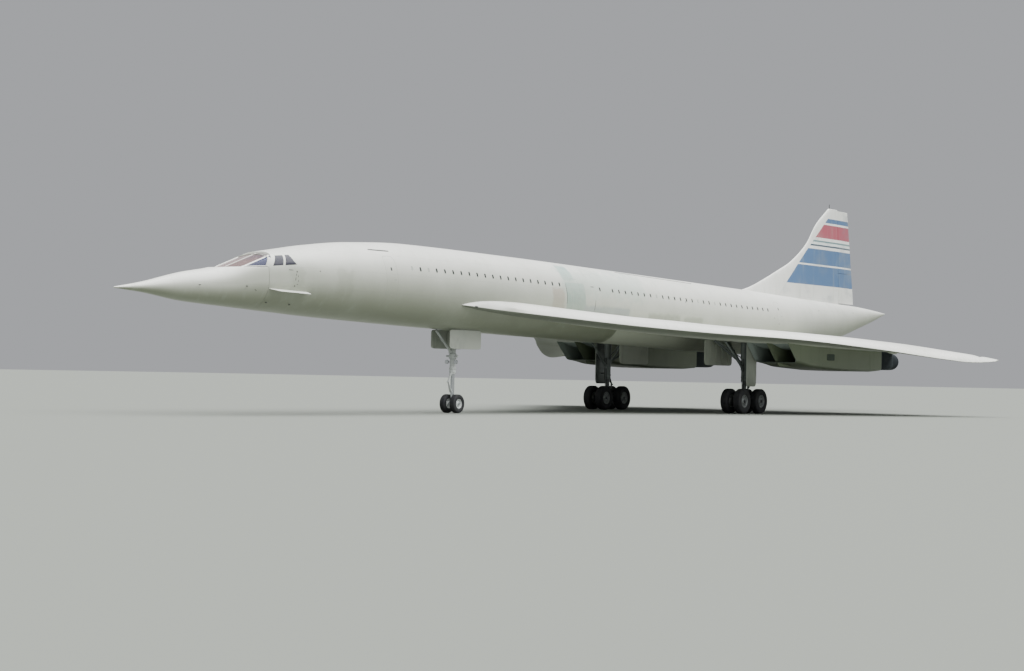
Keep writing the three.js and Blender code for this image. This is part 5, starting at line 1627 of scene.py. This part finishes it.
def makeBogie(side):
    s, y, hub = gear["station"], side * gear["offset"], gear["hub"]
    half = gear["base"] / 2
    # half of the beam from its middle, as (distance, half height)
    rows = np.array([
        (50, 54), (90, 42), (half - 90, 38), (half - 20, 54), (half + 20, 54), (half + 58, 40)])
    along, size = np.concatenate([rows[::-1] * [-1, 1], rows]).T
    parts = [limb(pointsAt(s + along, y, hub), size * 0.9, size, square=3.2, turns=28, bevel=8)]
    post = [(hub + mainLeg["ankle"] - 0.5, 60)] + [(hub + rise, radius) for rise, radius in bogie["post"]]
    parts.append(upright(s, y, post, turns=24))
    distance, radius = zip(*bogie["drum"])
    for x in (s - half, s + half):
        reach = gear["track"] / 2 + bogie["axleReach"]
        parts.append(makeAxle(x, y, hub, reach, bogie["axle"], turns=24, finish=1))
        for sign in (-1, 1):
            # brake drum between the beam and the wheel's dish
            drum = [[x, y + sign * d, hub] for d in distance]
            parts.append(limb(drum, radius, side=(1, 0, 0), turns=28, finish=2))
    return parts


legPaints = [gearPaint, dullSteel, darkSeal]
makePair("mainLeg", makeMainLeg, legPaints, "main_leg")
makePair("mainSideStay", makeSideStay, legPaints, "main_side_stay")
makePair("mainDragStrut", makeDragStrut, legPaints, "main_drag_strut")
makePair("mainLegDoor", makeLegDoor, [shadedDoorPaint, gearPaint], "main_leg_door")
makePair("mainBayDoor", makeBayDoor, [shadedBayPaint], "main_bay_door")
makePair("mainBogie", makeBogie, legPaints, "main_bogie")


# Nose landing gear: what is below the steering joint turns with the wheels
steerTop = 900
noseLeg = {
    "post": [(1740, 62), (1236, 62), (1230, 84), (1130, 84), (1124, 64), (960, 62), (954, 74)],
    # steering jack and lamp arm: distance aft, offset, height, reach, radius; lamp: distance aft, radius
    "jack": (-20, 105, 1180, 45, 20), "arm": (-30, 80, 1060, 20, 9),
    "lamp": [(-62, 44), (-40, 46), (-10, 20)], "lampOffset": 118, "lampHeight": 1060,
}
noseStrut = {
    "foot": (-92, 1280), "head": (-600, 1706), "block": ((-118, -63), (-30, 30), (1236, 1309)),
    "rows": [(0, 34), (0.05, 34), (0.07, 28), (0.5, 28), (0.52, 36), (0.6, 36), (0.62, 26), (1.0, 26)],
}
noseFork = {
    "head": [(840, 72), (834, 64), (812, 62), (806, 46)], "post": [(812, 43), (300, 43), (292, 52)],
    "axle": [(0.93, 23.8), (0.98, 23.8), (1, 14)], "axleReach": 72, "lug": (-90, 50),
}
noseLink = {
    "from": -46, "knee": (-150, 646), "roots": [(850, 40), (430, 36)], "end": 16, "thick": [13, 10],
    "bevel": 3, "pin": 14, "pinReach": 28, "pinTurns": 14,
}
noseDoor = {
    "station": 9800, "offset": 241, "halfLong": 548, "thick": 12, "square": 12, "low": 1330, "into": 18,
    "ribDepth": (-6, -18), "ribHalf": 9, "bevel": 2, "ribs": (9450, 9800, 10150), "ribShort": (50, 20),
}


def makeNoseLeg():
    s = noseGear["station"]
    parts = [upright(s, 0, noseLeg["post"] + [(steerTop + 8, 74), (steerTop + 1, 66)])]
    # steering jacks across the collar, and two lamps on short arms
    for sign in (-1, 1):
        aft, offset, *size = noseLeg["jack"]
        parts.append(crossPin(s + aft, sign * offset, *size, turns=18, bevel=4))
        aft, radius = zip(*noseLeg["lamp"])
        path = pointsAt(s + np.array(aft), sign * noseLeg["lampOffset"], noseLeg["lampHeight"])
        parts.append(limb(path, radius, turns=24, finish=1))
        aft, offset, *size = noseLeg["arm"]
        parts.append(crossPin(s + aft, sign * offset, *size, turns=10))
    return parts


def makeNoseStrut():
    s = noseGear["station"]
    foot, head = ([s + aft, 0, height] for aft, height in (noseStrut["foot"], noseStrut["head"]))
    stations, offsets, heights = (np.array(pair) for pair in noseStrut["block"])
    return [strut(foot, head, noseStrut["rows"], turns=18), block(s + stations, offsets, heights, 6)]


def makeNoseFork():
    s, hub = noseGear["station"], noseGear["hub"]
    parts = [upright(s, 0, [(steerTop - 1, 66), (steerTop - 8, 72)] + noseFork["head"]),
             upright(s, 0, noseFork["post"] + [(hub - 30, 52)], 1)]
    reach = noseGear["track"] / 2 + noseFork["axleReach"]
    parts.append(makeAxle(s, 0, hub, reach, noseFork["axle"], turns=20, finish=1))
    parts += makeLinks(s, 0, noseLink)
    # towing lug at the axle
    lug = [[s + aft, 0, hub] for aft in noseFork["lug"]]
    parts.append(limb(lug, [16, 30], [20, 34], square=3, turns=16, bevel=4))
    return parts


def makeNoseDoor(side):
    # the door hangs from the belly and reaches a little way into it
    low, high = noseDoor["low"], smoothColumn(bodyRows, 3, noseDoor["station"]) + noseDoor["into"]
    below, above = noseDoor["ribShort"]
    ribs = [(span(station, noseDoor["ribHalf"]), (low + below, high - above))
            for station in noseDoor["ribs"]]
    return makeDoor(noseDoor, side, (low, high), ribs)


nosePaints = [noseGearPaint, brightSteel, darkSeal]
makePiece("noseLegPost", makeNoseLeg(), nosePaints, "airframe", ["nose_leg"])
makePiece("noseStrut", makeNoseStrut(), nosePaints, "airframe", ["nose_drag_strut"])
makePiece("noseSteerFork", makeNoseFork(), nosePaints, "nose_steering", ["nose_fork"])
makePair("noseGearDoor", makeNoseDoor, [shadedDoorPaint], "nose_gear_door")
print("landing gear made")


# Frame nodes that stay in view get these finishes
nodeFinishes = {
    "elevon": skinPaint, "rudder": finPaint, "fin_tip_mast": darkSeal,
    "engine": ductLining, "tail_bumper_leg": gearPaint,
}
for name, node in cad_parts.items():
    for start, finish in nodeFinishes.items():
        if name.startswith(start):
            node.data.materials.clear()
            node.data.materials.append(finish)


# Floor, light and camera
studio = {
    "floor": "767A73", "sky": (0.84, 0.86, 0.90), "skyStrength": 0.5, "sunStrength": 9.0,
    "sunTurn": (14, 0, 10), "sunSpread": 90, "reach": 400, "below": 0.004,
}
floorMesh = bpy.data.meshes.new("studioFloor")
corners = [(x * studio["reach"], y * studio["reach"], -studio["below"])
           for x, y in ((-1, -1), (1, -1), (1, 1), (-1, 1))]
floorMesh.from_pydata(corners, [], [(0, 1, 2, 3)])
floor = bpy.data.objects.new("studioFloor", floorMesh)
bpy.context.scene.collection.objects.link(floor)
floorMaterial, tree, shader = newMaterial("studioFloor", studio["floor"])
shader.inputs["Base Color"].default_value = tone(studio["floor"])
shader.inputs["Roughness"].default_value = 0.9
floorMesh.materials.append(floorMaterial)

world = bpy.data.worlds.new("studioSky")
bpy.context.scene.world = world
world.use_nodes = True
world.node_tree.nodes["Background"].inputs[0].default_value = (*studio["sky"], 1)
world.node_tree.nodes["Background"].inputs[1].default_value = studio["skyStrength"]

sun = bpy.data.lights.new("softSun", "SUN")
sun.energy = studio["sunStrength"]
sun.angle = math.radians(studio["sunSpread"])
sunObject = bpy.data.objects.new("softSun", sun)
sunObject.rotation_euler = [math.radians(a) for a in studio["sunTurn"]]
bpy.context.scene.collection.objects.link(sunObject)

# the camera stands where the photograph was taken: yaw from +Y towards +X, then pitch and roll
shot = {
    "place": (-40.177, -25.545, 0.796), "lens": 72.45, "yaw": 55.0817, "pitch": 1.1188, "roll": 1.0593}
yaw, pitch, roll = (math.radians(shot[k]) for k in ("yaw", "pitch", "roll"))
forward = np.array([math.sin(yaw) * math.cos(pitch), math.cos(yaw) * math.cos(pitch), math.sin(pitch)])
right = np.array([math.cos(yaw), -math.sin(yaw), 0])
upward = np.cross(right, forward)
rolledRight = math.cos(roll) * right + math.sin(roll) * upward
rolledUp = -math.sin(roll) * right + math.cos(roll) * upward
camera = bpy.data.cameras.new("shotCamera")
camera.lens = shot["lens"]
camera.sensor_width = 36
camera.clip_end = 2000
cameraObject = bpy.data.objects.new("shotCamera", camera)
matrix = np.eye(4)
matrix[:3] = np.stack([rolledRight, rolledUp, -forward, shot["place"]], axis=1)
cameraObject.matrix_world = Matrix(matrix.tolist())
bpy.context.scene.collection.objects.link(cameraObject)
bpy.context.scene.camera = cameraObject
print("floor, light and camera set")

bpy.context.view_layer.update()
